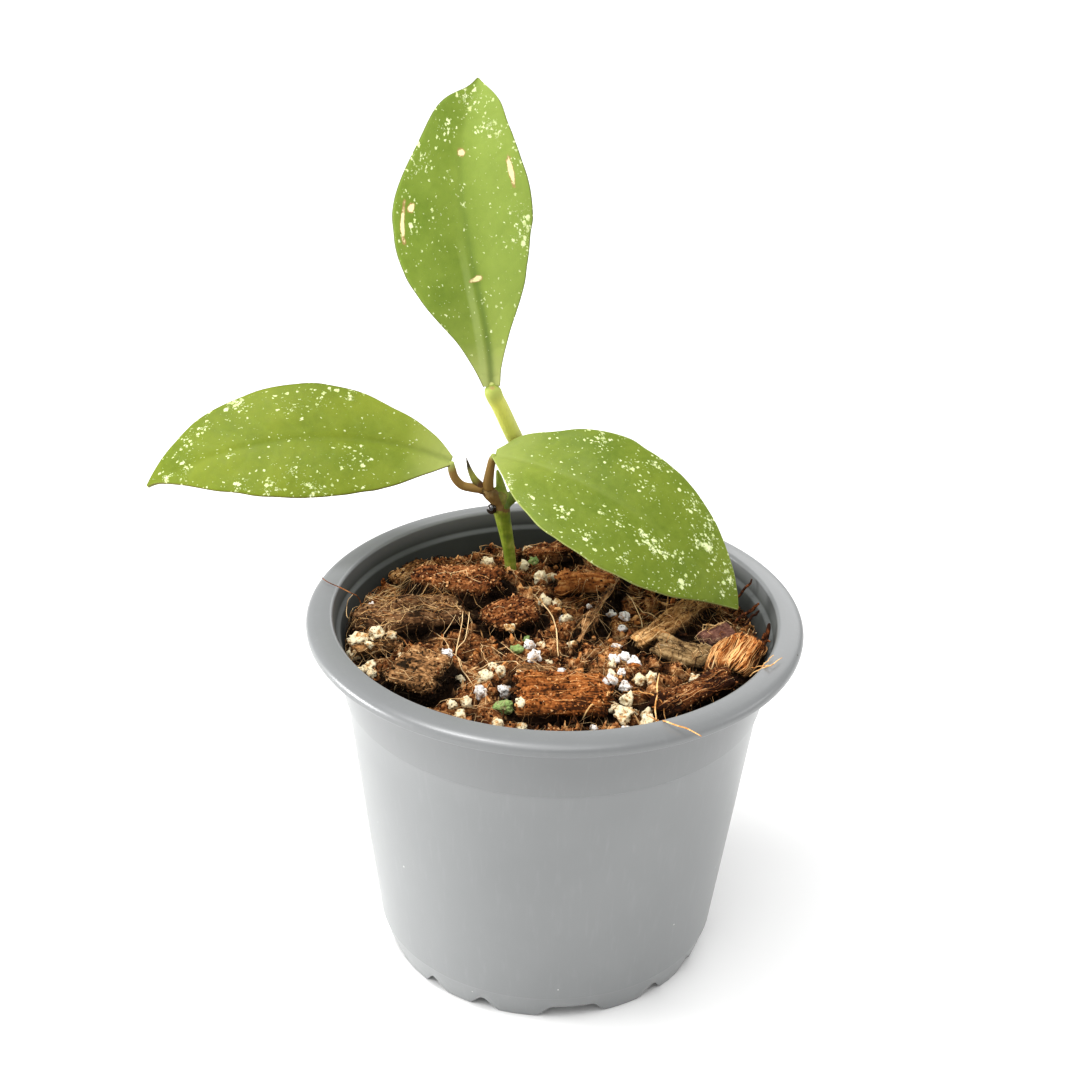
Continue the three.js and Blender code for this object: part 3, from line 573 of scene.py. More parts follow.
# The blade is one grid: each row runs from the left margin over the upper face to the right margin and back
# under it. At a share of the half width, the reach is that share times the half width, and the blade lifts
# by |reach| sin(fold) - camber reach^2 / 15. Its thickness tapers to the margin, where it closes round.
def bladeSurface(leaf, seed):
    outline = throughPoints(leaf["outline"], blade["rows"])
    share = np.clip(outline[:, 0], 0, 1)
    centre = midribPoints(leaf, share)
    along, across, face = (v[:, None, :] for v in leafFrames(leaf, share))
    x = np.linspace(1, -1, blade["columns"])
    x = 0.6 * x + 0.4 * np.sin(np.pi / 2 * x)
    half = np.concatenate([x, -x[1:-1]])[None, :]
    side = np.concatenate([np.ones(len(x)), -np.ones(len(x) - 2)])[None, :]
    width = np.where(half > 0, outline[:, 1:2], outline[:, 2:3])
    length = share[:, None] * leaf["length"] + 0 * half
    ripple = 1 + 0.02 * noise(np.stack([length / 5, np.sign(half) * 3 + 0 * length, 0 * length], -1), seed)
    reach = half * width * ripple
    fold = np.radians(leaf["fold"][0] + (leaf["fold"][1] - leaf["fold"][0]) * share)[:, None]
    ridge = np.sqrt(reach ** 2 + blade["crease"] ** 2) - blade["crease"]
    flat = np.stack([length / 12, reach / 7, 0 * length], -1)
    lift = ridge * np.sin(fold) - leaf["camber"] * reach ** 2 / 15
    lift = lift + 0.32 * noise(flat, seed + 1) * smoothStep(np.abs(reach), 0, 5)
    # The midrib's groove and the slanted veins press into the upper face and stand out under it
    groove = np.exp(-(reach / 0.75) ** 2)
    veinPhase = (length - 0.85 * np.abs(reach)) / 6.2 + 0.35 * noise(flat * 1.4, seed + 2)
    vein = np.exp(-((veinPhase - np.round(veinPhase)) / 0.07) ** 2)
    vein = vein * smoothStep(np.abs(half), 0.02, 0.15) * (1 - np.abs(half) ** 3)
    fine = noise(np.stack([length / 1.6, reach / 1.6, 0 * length], -1), seed + 3)
    full = blade["midrib"] + (blade["margin"] - blade["midrib"]) * np.abs(half)
    thick = full * np.sqrt(1 - np.abs(half) ** 26)
    ease = 1 - share[:, None]
    dent = np.where(side > 0, 0.32 * groove * ease ** 0.5 + 0.07 * vein, -0.45 * groove * ease)
    height = lift - 0.5 * full + 0.5 * side * thick - side * dent * (np.abs(half) < 0.99) + 0.03 * fine
    points = centre[:, None, :] + across * (reach * np.cos(fold))[..., None] + face * height[..., None]
    return points, {"share": share[:, None] + 0 * half, "half": half + 0 * length, "length": length,
                    "reach": reach, "width": width, "rib": groove, "vein": vein, "side": side + 0 * length}


# How strongly a place of the blade is flecked or scarred: a sum, or the most, of soft round or oval spots
def bladeMarks(leaf, at):
    density = 0.44 + 0.13 * smoothStep(np.abs(at["half"]), 0.45, 1) + 0.08 * smoothStep(at["share"], 0.7, 1)
    density = density * smoothStep(at["share"], 0.0, 0.14)
    for along, across, size, strength in leaf["flecks"]:
        away = np.hypot(at["length"] - along * leaf["length"], at["reach"] - across * at["width"])
        density = density + 0.62 * strength * np.exp(-(away / size) ** 2)
    scar = 0 * density
    for along, across, longSize, shortSize, strength in leaf["scars"]:
        away = np.hypot((at["length"] - along * leaf["length"]) / longSize,
                        (at["reach"] - across * at["width"]) / shortSize)
        scar = np.maximum(scar, strength * np.exp(-away ** 2))
    return density, scar


# A small oval scar where the leaf meets its shoot, on the side of the upper face
def jointScar(leaf, points):
    if "joint" not in leaf:
        return np.zeros(len(points))
    joint = leaf["joint"]
    x, y, z = points.T
    away = ((x - joint["at"][0]) / joint["size"][0]) ** 2 + ((z - joint["at"][1]) / joint["size"][1]) ** 2
    return joint["strength"] * np.exp(-away) * (y < joint["front"])


# Blade and petiole in one mesh. A field is given over the blade's grid, at its two end points and along the
# petiole, where the share runs from below 0 up to 0.
def leafPiece(name, leaf, seed):
    grid, at = bladeSurface(leaf, seed)
    rows, columns = grid.shape[:2]
    ends = np.stack([grid[0].mean(0), grid[-1].mean(0)])
    bladeShape = (np.concatenate([grid.reshape(-1, 3), ends]), *roundFaces(rows, columns))
    radii = throughPoints(np.array(leaf["petioleRadii"])[:, None], petiole["steps"])[:, 0]
    stalk = tubes([throughPoints(leaf["petiole"], petiole["steps"])], radii, petiole["sides"])
    points, quads, triangles = gather([bladeShape, stalk])
    density, scar = bladeMarks(leaf, at)
    run = np.repeat(np.linspace(petiole["share"], 0.0, petiole["steps"]), petiole["sides"])
    run = np.concatenate([run, [petiole["share"], 0.0]])
    edge = at["width"] * (1 - np.abs(at["half"]))
    fields = {"share": (at["share"], 1, run), "fleckShare": (density, 0, 0),
              "scar": (scar, 0, jointScar(leaf, stalk[0])), "edge": (edge, 0, 5),
              "rib": (at["rib"], 1, 0), "vein": (at["vein"], 0, 0), "across": (at["half"], 0, 0),
              "reachMm": (at["reach"], 0, 0), "under": (at["side"] < 0, 1, 0)}
    fields = {key: np.concatenate([values.ravel(), [end, end], np.broadcast_to(rest, len(stalk[0]))])
              for key, (values, end, rest) in fields.items()}
    uv = np.stack([at["length"], at["reach"]], -1).reshape(-1, 2)
    uv = np.concatenate([uv, [[0, 0], [leaf["length"], 0]], np.full((len(stalk[0]), 2), -3)]) * 0.01
    piece = newPiece(name + "Blade", points, quads, triangles, uv=uv, fields=fields)
    finishPiece(piece, "leaf_skin", leafMaterial(name + "Skin", leaf, seed), name)


# Small flecks: each Voronoi cell has a spot, as large as its random draw and the local density make it
def fleckLayer(tree, where, scale, power, gain, edge):
    cells = addNode(tree, "TexVoronoi", {"Vector": where, "Scale": scale})
    draw = split(tree, "Color", cells.outputs["Color"])[0]
    size = calc(tree, "MULTIPLY", calc(tree, "POWER", draw, power), gain)
    return calc(tree, "DIVIDE", calc(tree, "SUBTRACT", size, cells.outputs["Distance"]), edge, clamp=True)


# Ragged patches: a rough noise over a threshold that sinks where the flecks are dense
def patchLayer(tree, where, scale, low, high, density):
    rough = noiseNode(tree, where, scale, 5, 0.78)
    level = spread(tree, density, 0.25, 1.1, high, low)
    return calc(tree, "DIVIDE", calc(tree, "SUBTRACT", rough, level), 0.012, clamp=True)


# Two sizes of fleck and two of patch, on the blade's own map bent a little by a colour noise and set aslant
def fleckMask(tree, where, density):
    wobble = addNode(tree, "TexNoise", {"Vector": where, "Scale": 230, "Detail": 3}).outputs["Color"]
    wobble = addNode(tree, "VectorMath", {0: wobble, 1: (0.5, 0.5, 0.5)}, operation="SUBTRACT").outputs[0]
    wobble = addNode(tree, "VectorMath", {0: wobble, "Scale": 0.009}, operation="SCALE").outputs[0]
    bent = addNode(tree, "VectorMath", {0: where, 1: wobble}, operation="ADD").outputs[0]
    aslant = {"Vector": bent, "Rotation": (0, 0, 0.6), "Scale": (0.8, 1.25, 1)}
    slanted = addNode(tree, "Mapping", aslant).outputs[0]
    fine = fleckLayer(tree, slanted, 150, 3.6, calc(tree, "MULTIPLY", density, 0.66), 0.06)
    middle = fleckLayer(tree, slanted, 80, 4.0, calc(tree, "MULTIPLY", density, 0.6), 0.05)
    small = patchLayer(tree, slanted, 125, 0.585, 0.735, density)
    coarse = patchLayer(tree, slanted, 50, 0.55, 0.78, density)
    return calc(tree, "MAXIMUM", calc(tree, "MAXIMUM", fine, middle), calc(tree, "MAXIMUM", small, coarse))


# Green from deep to fresh by a cloud, and each mark mixed over it by its own share
def leafMaterial(name, leaf, seed):
    material, tree, shader = startMaterial(
        name, Roughness=0.5, Specular_IOR_Level=0.14, Subsurface_Weight=0.04,
        Subsurface_Radius=(0.4, 1.0, 0.1), Subsurface_Scale=1.2 * mm)
    surface = addNode(tree, "UVMap", uv_map="surface").outputs[0]
    where = addNode(tree, "Mapping", {"Vector": surface, "Location": (seed * 3.7, seed * 1.3, 0)}).outputs[0]
    share, under, mottle = field(tree, "share"), field(tree, "under"), noiseNode(tree, where, 70, 3, 0.6)
    upper = calc(tree, "SUBTRACT", 1.0, under)
    cloud = noiseNode(tree, where, 9, 4, 0.55)
    tone = mixColour(tree, spread(tree, cloud, 0.3, 0.7), leaf["deep"], leaf["fresh"])
    tone = mixColour(tree, spread(tree, mottle, 0.35, 0.75, 0, 0.16), tone, leafTones["mottle"])
    # One half may be lighter than the other, as the fold turns it to the light
    half = spread(tree, field(tree, "across"), 0.2, -0.35, 0, leaf["halves"])
    tone = mixColour(tree, half, tone, leafTones["lightHalf"])
    # The base is paler, and the midrib and the margin have a thin line of their own colour
    base = calc(tree, "MULTIPLY", spread(tree, share, 0.0, 0.35, 0.7 * leaf["basePale"], 0.0), cloud)
    tone = mixColour(tree, base, tone, leafTones["yellowBase"])
    tone = mixColour(tree, spread(tree, share, 0.0, 0.16, leaf["basePale"], 0.0), tone, leafTones["paleBase"])
    rib = calc(tree, "MULTIPLY", field(tree, "rib"), spread(tree, share, 0.15, 0.85, leaf["ribShare"], 0.0))
    tone = mixColour(tree, rib, tone, leaf["ribTone"])
    beside = calc(tree, "ABSOLUTE", calc(tree, "SUBTRACT", field(tree, "reachMm"), 1.9))
    stripe = spread(tree, beside, 0.5, 1.1, leaf["stripe"], 0.0)
    stripe = calc(tree, "MULTIPLY", stripe, spread(tree, share, 0.5, 0.3))
    tone = mixColour(tree, stripe, tone, leafTones["stripe"])
    tone = mixColour(tree, calc(tree, "MULTIPLY", field(tree, "vein"), 0.07), tone, leafTones["vein"])
    tone = mixColour(tree, spread(tree, field(tree, "edge"), 0.1, 0.32, 0.85, 0.0), tone, leaf["rimTone"])
    # The flecks show on the upper face only, and the lower one is paler and duller
    flecks = fleckMask(tree, where, field(tree, "fleckShare"))
    bright = spread(tree, mottle, 0.4, 0.6)
    fleckTone = mixColour(tree, bright, leafTones["dullFleck"], leafTones["brightFleck"])
    tone = mixColour(tree, calc(tree, "MULTIPLY", flecks, upper), tone, fleckTone)
    tone = mixColour(tree, calc(tree, "MULTIPLY", under, 0.6), tone, leafTones["under"])
    # The petiole has a colour of its own, and turns green where it meets the blade
    tone = mixColour(tree, spread(tree, share, *leaf["petioleFade"], 1.0, 0.0), tone, leaf["petioleTone"])
    neck = spread(tree, share, -0.26, -0.06, 0.0, leaf["neck"])
    neck = calc(tree, "MULTIPLY", neck, calc(tree, "LESS_THAN", share, 0.0))
    tone = mixColour(tree, neck, tone, leafTones["neck"])
    # A scar has a ragged brown rim and a pale heart
    ragged = calc(tree, "MULTIPLY", calc(tree, "SUBTRACT", mottle, 0.5), 1.1)
    scar = calc(tree, "ADD", field(tree, "scar"), ragged)
    scarRim = calc(tree, "MULTIPLY", spread(tree, scar, 0.26, 0.42, 0, 0.8), upper)
    tone = mixColour(tree, scarRim, tone, leafTones["scarRim"])
    scarHeart = calc(tree, "MULTIPLY", spread(tree, scar, 0.42, 0.56), upper)
    tone = mixColour(tree, scarHeart, tone, leafTones["scarHeart"])
    tree.links.new(tone, shader.inputs["Base Color"])
    tree.links.new(spread(tree, mottle, 0.3, 0.7, 0.44, 0.56), shader.inputs["Roughness"])
    skin = noiseNode(tree, where, 420, 2, 0.5)
    height = calc(tree, "ADD", calc(tree, "MULTIPLY", skin, 0.35), calc(tree, "MULTIPLY", mottle, 0.8))
    height = calc(tree, "ADD", height, calc(tree, "MULTIPLY", flecks, 0.3))
    addBump(tree, shader, height, 0.08 * mm)
    return material


for seed, (name, leaf) in enumerate(leaves.items(), 3):
    leafPiece(name, {**leafPlain, **leaf}, seed)
print("leaves done")


# Stem: tubes for the old cutting, its fork, the dead bud, the stub, the new shoot and the roots, joined by
# a voxel remesh and smoothed. Each has the points that it runs through, and a radius for each or for some
# of them.
stem = {
    "cutting": (((-9.2, 28.3, 52), (-9.6, 28.4, 62), (-10, 28.5, 73.9), (-10.7, 28.5, 80.2),
                 (-11.9, 28.5, 86.4), (-12.5, 28.6, 90.1), (-12.6, 28.7, 92.4)),
                (1.1, 1.4, 1.3, 1.4, 1.7, 1.95, 1.3)),
    "fork": (((-12.2, 28.6, 89.4), (-13.4, 28.4, 91.6), (-14.9, 28.1, 93.1), (-16, 28, 94.1)),
             (1.8, 1.75, 1.6, 1.2)),
    "spike": (((-16.4, 28, 93.6), (-17.2, 28, 94.9), (-18.5, 28, 96.7), (-19.6, 28, 99.2),
               (-20.2, 28, 101.8)),
              (1.1, 1.05, 0.8, 0.5, 0.15)),
    "stub": (((-12, 29, 90.8), (-12.5, 29.3, 93.5), (-13, 29.7, 96), (-13.5, 30, 98)), (1.5, 1.2, 0.8, 0.3)),
    "shoot": (((-12, 28.7, 90.3), (-9.3, 30.3, 92.2), (-7.2, 32.4, 95.2), (-7.2, 33.3, 99.6),
               (-9.9, 32.2, 105), (-12.9, 30.3, 112.5), (-14.6, 29.35, 116.4)),
              (1.5, 1.35, 1.35, 1.6, 1.82, 1.82, 1.78)),
    "rootlet": (((-9.8, 28.2, 75.2), (-9.2, 27.6, 73.6), (-8.5, 26.8, 71.4)), (0.6, 0.45, 0.25)),
}
stemKinds = {"cutting": 0, "fork": 1, "spike": 2, "stub": 3, "shoot": 4, "rootlet": 0, "root": 5}
stemGrid = {"steps": 40, "sides": 24, "thinnest": 0.15, "voxel": 0.25, "relax": 0.5, "relaxings": 4}
roots = {"count": 6, "radii": (0.85, 0.7, 0.55, 0.35), "from": (-9.3, 28.3, 54)}
stemTones = {
    "oldGreen": [(0.3, (0.085, 0.13, 0.010)), (0.52, (0.175, 0.235, 0.018)), (0.7, (0.32, 0.36, 0.06))],
    "brown": [(0.3, (0.055, 0.03, 0.008)), (0.5, (0.15, 0.085, 0.022)), (0.75, (0.30, 0.19, 0.07))],
    "shoot": [(0.15, (0.10, 0.15, 0.02)), (0.55, (0.30, 0.36, 0.06)), (0.95, (0.55, 0.56, 0.10))],
    "tip": [(0.35, (0.07, 0.032, 0.01)), (0.55, (0.24, 0.25, 0.04)), (0.68, (0.20, 0.19, 0.04)),
            (0.8, (0.04, 0.03, 0.012))],
    "root": [(0.3, (0.45, 0.33, 0.17)), (0.7, (0.68, 0.55, 0.34))],
    "grain": (0.25, 0.22, 0.08),
}


# Roots leave the cutting's foot evenly about it, turned a little by a sine, and drop more further out.
def rootPath(i):
    angle = i / roots["count"] * 2 * np.pi + 0.4 * np.sin(5 * i)
    reach = 9 + 4 * np.sin(2.3 * i + 1)
    share, drop = np.array([0, 0.35, 0.75, 1]), np.array([0, 2, 7, 15 + (i % 3) * 4])
    x, y, z = roots["from"]
    return np.stack([x + reach * share * np.cos(angle), y + reach * share * 0.8 * np.sin(angle),
                     z + 1.6 * (i % 4) - drop], -1)


# After the remesh each point takes its kind and its share along the tube from the paths' nearest point.
def stemPiece():
    runs = [(name, *run) for name, run in stem.items()]
    runs += [("root", rootPath(i), roots["radii"]) for i in range(roots["count"])]
    steps = stemGrid["steps"]
    parts, samples, kinds, shares = [], [], [], []
    for name, path, radii in runs:
        line = throughPoints(path, steps)
        width = throughPoints(np.array(radii)[:, None], steps)[:, 0]
        parts.append(tubes([line], np.maximum(width, stemGrid["thinnest"]), stemGrid["sides"]))
        samples.append(line)
        kinds += [stemKinds[name]] * steps
        shares += list(np.linspace(0, 1, steps))
    piece = newPiece("stemSkin", *gather(parts))
    remesh = piece.modifiers.new("join", "REMESH")
    remesh.mode = "VOXEL"
    remesh.voxel_size = stemGrid["voxel"] * mm
    remesh.use_smooth_shade = True
    relax = piece.modifiers.new("relax", "SMOOTH")
    relax.factor = stemGrid["relax"]
    relax.iterations = stemGrid["relaxings"]
    applyModifiers(piece)
    samples = np.concatenate(samples)
    # In 60 lots, to keep the table of distances small
    nearest = np.concatenate([np.argmin(((lot[:, None] - samples) ** 2).sum(-1), 1)
                              for lot in np.array_split(pointsOf(piece), 60)])
    addField(piece.data, "kind", np.array(kinds)[nearest])
    addField(piece.data, "share", np.array(shares)[nearest])
    return piece


# Each kind of tube has its own tones: by a noise, or along the shoot and the spike by their share
def stemMaterial():
    material, tree, shader = startMaterial("stemSkin", Roughness=0.42, Specular_IOR_Level=0.22)
    where = objectPlace(tree)
    kind, share = field(tree, "kind"), field(tree, "share")
    cloud = noiseNode(tree, where, 260, 4, 0.6)
    grainPlace = addNode(tree, "Mapping", {"Vector": where, "Scale": (2400, 2400, 260)}).outputs[0]
    grain = noiseNode(tree, grainPlace, 1.0, 3, 0.6)
    oldGreen, brown = ramp(tree, cloud, stemTones["oldGreen"]), ramp(tree, cloud, stemTones["brown"])
    shoot = ramp(tree, calc(tree, "ADD", share, calc(tree, "MULTIPLY", cloud, 0.2)), stemTones["shoot"])
    tip, root = ramp(tree, share, stemTones["tip"]), ramp(tree, cloud, stemTones["root"])
    # The cutting is half brown from just below its fork up
    height = split(tree, "XYZ", where)[2]
    nodeBrown = calc(tree, "MULTIPLY", spread(tree, height, 87.5 * mm, 90.5 * mm), 0.5)
    tone = mixColour(tree, nodeBrown, oldGreen, brown)
    for level, colour in ((0.5, brown), (1.5, tip), (2.5, oldGreen), (3.5, shoot), (4.5, root)):
        tone = mixColour(tree, spread(tree, kind, level - 0.2, level + 0.2), tone, colour)
    tone = mixColour(tree, spread(tree, grain, 0.55, 0.75, 0, 0.3), tone, stemTones["grain"])
    tree.links.new(tone, shader.inputs["Base Color"])
    addBump(tree, shader, calc(tree, "ADD", cloud, grain), 0.18 * mm)
    return material


stemObject = stemPiece()
finishPiece(stemObject, "stem_skin", stemMaterial(), "stem")
print("stem:", len(stemObject.data.polygons), "faces")


bead = {
    "at": (-14.5, 27.0, 89.8), "radius": 1.1, "squash": (1, 0.9, 1.05), "rings": 17, "sides": 28,
    "tones": [(0.35, (0.004, 0.004, 0.004)), (0.7, (0.03, 0.02, 0.015))],
}


# Directions over a sphere from the bottom up, ring by ring, and then its two poles
def ballWays(rings, sides):
    polar = (np.arange(rings) + 1)[:, None] / (rings + 1) * np.pi
    angle = np.arange(sides) / sides * 2 * np.pi
    ring = [np.sin(polar) * np.cos(angle), np.sin(polar) * np.sin(angle), -np.cos(polar) + 0 * angle]
    return np.concatenate([np.stack(ring, -1).reshape(-1, 3), [[0, 0, -1], [0, 0, 1]]])


# Dried drop of sap on the node: a sphere, flattened and dented by noise
def sapBead():
    ways = ballWays(bead["rings"], bead["sides"])
    reach = bead["radius"] * (1 + 0.12 * noise(ways * 1.4 + 7, 5))
    points = ways * reach[:, None] * bead["squash"] + bead["at"]
    piece = newPiece("sapBead", points, *roundFaces(bead["rings"], bead["sides"]))
    material, tree, shader = startMaterial("sapGloss", Roughness=0.1, Specular_IOR_Level=0.7)
    cloud = noiseNode(tree, objectPlace(tree), 900, 3, 0.6)
    tree.links.new(ramp(tree, cloud, bead["tones"]), shader.inputs["Base Color"])
    tree.links.new(spread(tree, cloud, 0.3, 0.7, 0.07, 0.2), shader.inputs["Roughness"])
    addBump(tree, shader, cloud, 0.06 * mm)
    finishPiece(piece, "stem_skin", material)


sapBead()


# Coconut husk and bark: place from the rim's plane, size along, across and up, and turn as heading, pitch
# and roll. ridge, crumb and fray say how rough the grain, the surface and the broken ends are. strands and
# crumbs are counts. base is the tint of the body, and nothing at all is strewn on a bare chunk.
chunks = {
    "husk_log": {
        "at": (-31, 3.2, -6), "size": (25, 10.5, 7.5), "turn": (20, -3, 8), "ridge": 0.5, "crumb": 0.15,
        "fray": 1.4, "strands": 80, "crumbs": 900, "look": "greyHusk", "bare": True,
        "strandTint": (0.1, 0.9), "base": 0.36,
    },
    "husk_mound": {
        "at": (-21.5, 17.5, -5), "size": (19, 12, 7), "turn": (-14, 4, -10), "ridge": 0.15, "crumb": 0.65,
        "fray": 0.8, "strands": 14, "crumbs": 2500, "look": "redHusk",
    },
    "husk_chip": {
        "at": (-9.6, 4.8, -5.2), "size": (11.5, 8, 5.5), "turn": (38, 5, 12), "ridge": 0.2, "crumb": 0.55,
        "fray": 0.8, "strands": 8, "crumbs": 1000, "look": "redHusk", "base": 0.37,
    },
    "husk_block": {
        "at": (-27.5, -18.8, -6.2), "size": (12, 12.5, 7.5), "turn": (-32, 6, 10), "ridge": 0.3,
        "crumb": 0.42, "fray": 0.9, "strands": 40, "radius": 0.065, "crumbs": 900, "look": "darkHusk",
        "base": 0.36,
    },
    "husk_front": {
        "at": (2, -25.5, -6.6), "size": (18.5, 13, 5.5), "turn": (6, -2, 10), "ridge": 0.5, "crumb": 0.3,
        "fray": 1.5, "strands": 90, "crumbs": 900, "look": "orangeHusk", "base": 0.34,
    },
    "husk_back": {
        "at": (6.6, 22.2, -6.5), "size": (13, 6.5, 4.5), "turn": (-8, 6, 14), "ridge": 0.5, "crumb": 0.3,
        "fray": 0.9, "strands": 26, "radius": 0.08, "crumbs": 140, "look": "orangeHusk",
    },
    "bark_stick": {
        "at": (25.6, 6.2, -5.6), "size": (25, 4.6, 3.8), "turn": (52, 3, 12), "ridge": 0.6, "crumb": 0.2,
        "fray": 1.6, "strands": 120, "radius": 0.08, "crumbs": 60, "look": "tanBark", "bare": True,
        "base": 0.5,
    },
    "bark_flake": {
        "at": (27, -6.9, -5.4), "size": (12.5, 5.4, 2), "turn": (-22, -4, 22), "ridge": 0.2, "crumb": 0.42,
        "fray": 1.1, "strands": 14, "radius": 0.07, "crumbs": 60, "look": "greyBark", "bare": True,
        "base": 0.42,
    },
    "bark_chip": {
        "at": (34.6, -0.4, -6), "size": (7.5, 5.5, 5), "turn": (28, 8, 24), "ridge": 0.1, "crumb": 0.1,
        "fray": 0.2, "strands": 2, "radius": 0.07, "crumbs": 14, "look": "plumBark", "bare": True,
    },
    "husk_fan": {
        "at": (37.8, -11, -4.8), "size": (10.5, 9, 6.5), "turn": (62, 12, -16), "ridge": 0.7, "crumb": 0.08,
        "fray": 0.9, "strands": 330, "radius": 0.115, "crumbs": 12, "look": "orangeHusk", "bare": True,
        "base": 0.32, "waver": 0.7, "strandTint": (0.55, 1.2),
    },
    "husk_strip": {
        "at": (28.4, -23, -6.4), "size": (20, 5.6, 5), "turn": (29, 8, 16), "ridge": 0.6, "crumb": 0.3,
        "fray": 1.1, "strands": 60, "radius": 0.07, "crumbs": 300, "look": "redHusk", "base": 0.18,
    },
    "husk_rear": {
        "at": (-1.5, 37.6, -7.2), "size": (12, 6, 4.6), "turn": (12, 6, -14), "ridge": 0.4, "crumb": 0.45,
        "fray": 0.8, "strands": 16, "radius": 0.08, "crumbs": 200, "look": "redHusk",
    },
    "husk_shade": {
        "at": (25, 26, -6.8), "size": (14, 7.5, 5), "turn": (-38, 4, -10), "ridge": 0.4, "crumb": 0.45,
        "fray": 0.8, "strands": 20, "radius": 0.08, "crumbs": 200, "look": "redHusk",
    },
    "sliver": {
        "at": (9.6, 9.8, -4.7), "size": (30, 1.6, 1.2), "turn": (72, 2, 20), "ridge": 0.3, "crumb": 0.12,
        "fray": 1.6, "strands": 26, "radius": 0.08, "crumbs": 10, "look": "darkHusk", "bare": True,
        "base": 0.42,
    },
    "splinter": {
        "at": (-3.6, -16.6, -5.3), "size": (7.2, 2.2, 1.3), "turn": (2, 0, 12), "ridge": 0.25,
        "crumb": 0.12, "fray": 0.5, "strands": 10, "radius": 0.08, "crumbs": 8, "look": "darkHusk",
        "bare": True,
    },
    "shredLeft": {
        "at": (-37.2, -5.2, -6.4), "size": (13, 5.5, 2.2), "turn": (24, -4, 6), "ridge": 0.6, "crumb": 0.3,
        "fray": 1.5, "strands": 70, "radius": 0.08, "crumbs": 120, "look": "tanHusk", "base": 0.35,
    },
    "husk_side": {
        "at": (-31.6, 26.6, -7.4), "size": (11, 5.5, 4), "turn": (48, 4, -10), "ridge": 0.4, "crumb": 0.35,
        "fray": 0.8, "strands": 40, "radius": 0.09, "crumbs": 120, "look": "tanHusk",
    },
}
chunkPlain = {"radius": 0.06, "waver": 2.2, "stray": 3.0, "strandTint": (0.4, 1.0), "crumbTint": (-0.1, 0.95),
              "crumbSize": (0.1, 0.32), "base": 0.42, "bare": False}


# Potting mix: the bed's height over the plan, coarse mounds and waves as in the solid, with clumps and pits
# on top. A mound is a place, a breadth and a rise.
bed = {
    "level": 72.6, "edgeDrop": 1.4, "ledge": 45.2, "gap": 0.3, "around": 440, "rings": 108,
    "clump": 1.4, "crack": 1.3, "pit": 2.4, "moat": 2.0,
    "mounds": ((-21, 17, 13, 2.2), (-29, 2, 12, 1.4), (4, -22, 12, 1), (24, -12, 12, 1), (-12, 27, 6, 0.8)),
    "tones": [(0.38, (0.010, 0.003, 0.001)), (0.47, (0.13, 0.042, 0.012)), (0.55, (0.34, 0.14, 0.045)),
              (0.66, (0.74, 0.44, 0.20))],
}


# A level with a bell-shaped mound at each place, three slow waves, and a fall towards the wall
def bedHeight(x, y):
    height = bed["level"] + 0 * x
    for cx, cy, spreadOut, rise in bed["mounds"]:
        height = height + rise * np.exp(-((x - cx) ** 2 + (y - cy) ** 2) / (2 * spreadOut ** 2))
    height = height + 0.55 * np.sin(0.33 * x + 1.1) * np.cos(0.29 * y - 0.4)
    height = height + 0.35 * np.sin(0.71 * x - 0.52 * y + 2) + 0.25 * np.cos(0.9 * y + 0.44 * x)
    return height - bed["edgeDrop"] * (np.hypot(x, y) / bed["ledge"]) ** 6


# 1 in a ring just outside each chunk's outline, and 0 further in or out
def moat(x, y):
    ring = 0 * x
    for chunk in chunks.values():
        heading = np.radians(chunk["turn"][0])
        dx, dy = x - chunk["at"][0], y - chunk["at"][1]
        along = (np.cos(heading) * dx + np.sin(heading) * dy) / (chunk["size"][0] / 2)
        across = (np.cos(heading) * dy - np.sin(heading) * dx) / (chunk["size"][1] / 2)
        away = (along ** 4 + across ** 4) ** 0.25
        ring = np.maximum(ring, smoothStep(away, 0.7, 1) * (1 - smoothStep(away, 1.1, 1.5)))
    return ring


# Relief: fractal clumps, cracks where a second noise crosses zero, pits where a third is high, and moats
def bedRelief(x, y):
    place = np.stack([x, y, 0 * x], -1)
    cracks = 1 - smoothStep(np.abs(noise(place / 4.2, 8)), 0, 0.22)
    pits = np.maximum(0, noise(place / 2.3, 9) - 0.2)
    sunk = moat(x, y) * (0.65 + 0.5 * noise(place / 3, 10))
    clumps = bed["clump"] * fractal(place / 3.0, 5, 5, 0.65)
    return clumps - bed["crack"] * cracks - bed["pit"] * pits - bed["moat"] * sunk


# The bed is turned like the pot that holds it: rings up the inside of its wall, and then rings inwards over
# the top, which the height and the relief lift.
def bedPiece():
    gap, stepHeight = bed["gap"], potTop - pot["stepDepth"]
    bottom = pot["floorTop"] + gap
    side = [(pot["pad"] - 2.6, pot["padFloor"] + gap), (pot["pad"] - 1, bottom),
            (innerWall(bottom) - gap - 1.2, bottom), (innerWall(bottom + 1.4) - gap, bottom + 1.4),
            (innerWall(40) - gap, 40), (innerWall(stepHeight) - gap, stepHeight)]
    inwards = 1 - np.arange(bed["rings"]) / bed["rings"]
    radius = np.concatenate([[r for r, _ in side], (innerWall(stepHeight) - gap + 0.9) * inwards])
    angle = np.arange(bed["around"]) / bed["around"] * 2 * np.pi
    x, y = radius[:, None] * np.cos(angle), radius[:, None] * np.sin(angle)
    z = bedHeight(x, y) + bedRelief(x, y)
    z[:len(side)] = np.array([h for _, h in side])[:, None]
    centre = bedHeight(np.zeros(1), np.zeros(1)) + bedRelief(np.zeros(1), np.zeros(1))
    ends = np.array([[0, 0, pot["padFloor"] + gap], [0, 0, centre[0]]])
    points = np.concatenate([np.stack([x, y, z], -1).reshape(-1, 3), ends])
    return newPiece("mixBed", points, *roundFaces(len(radius), bed["around"]))
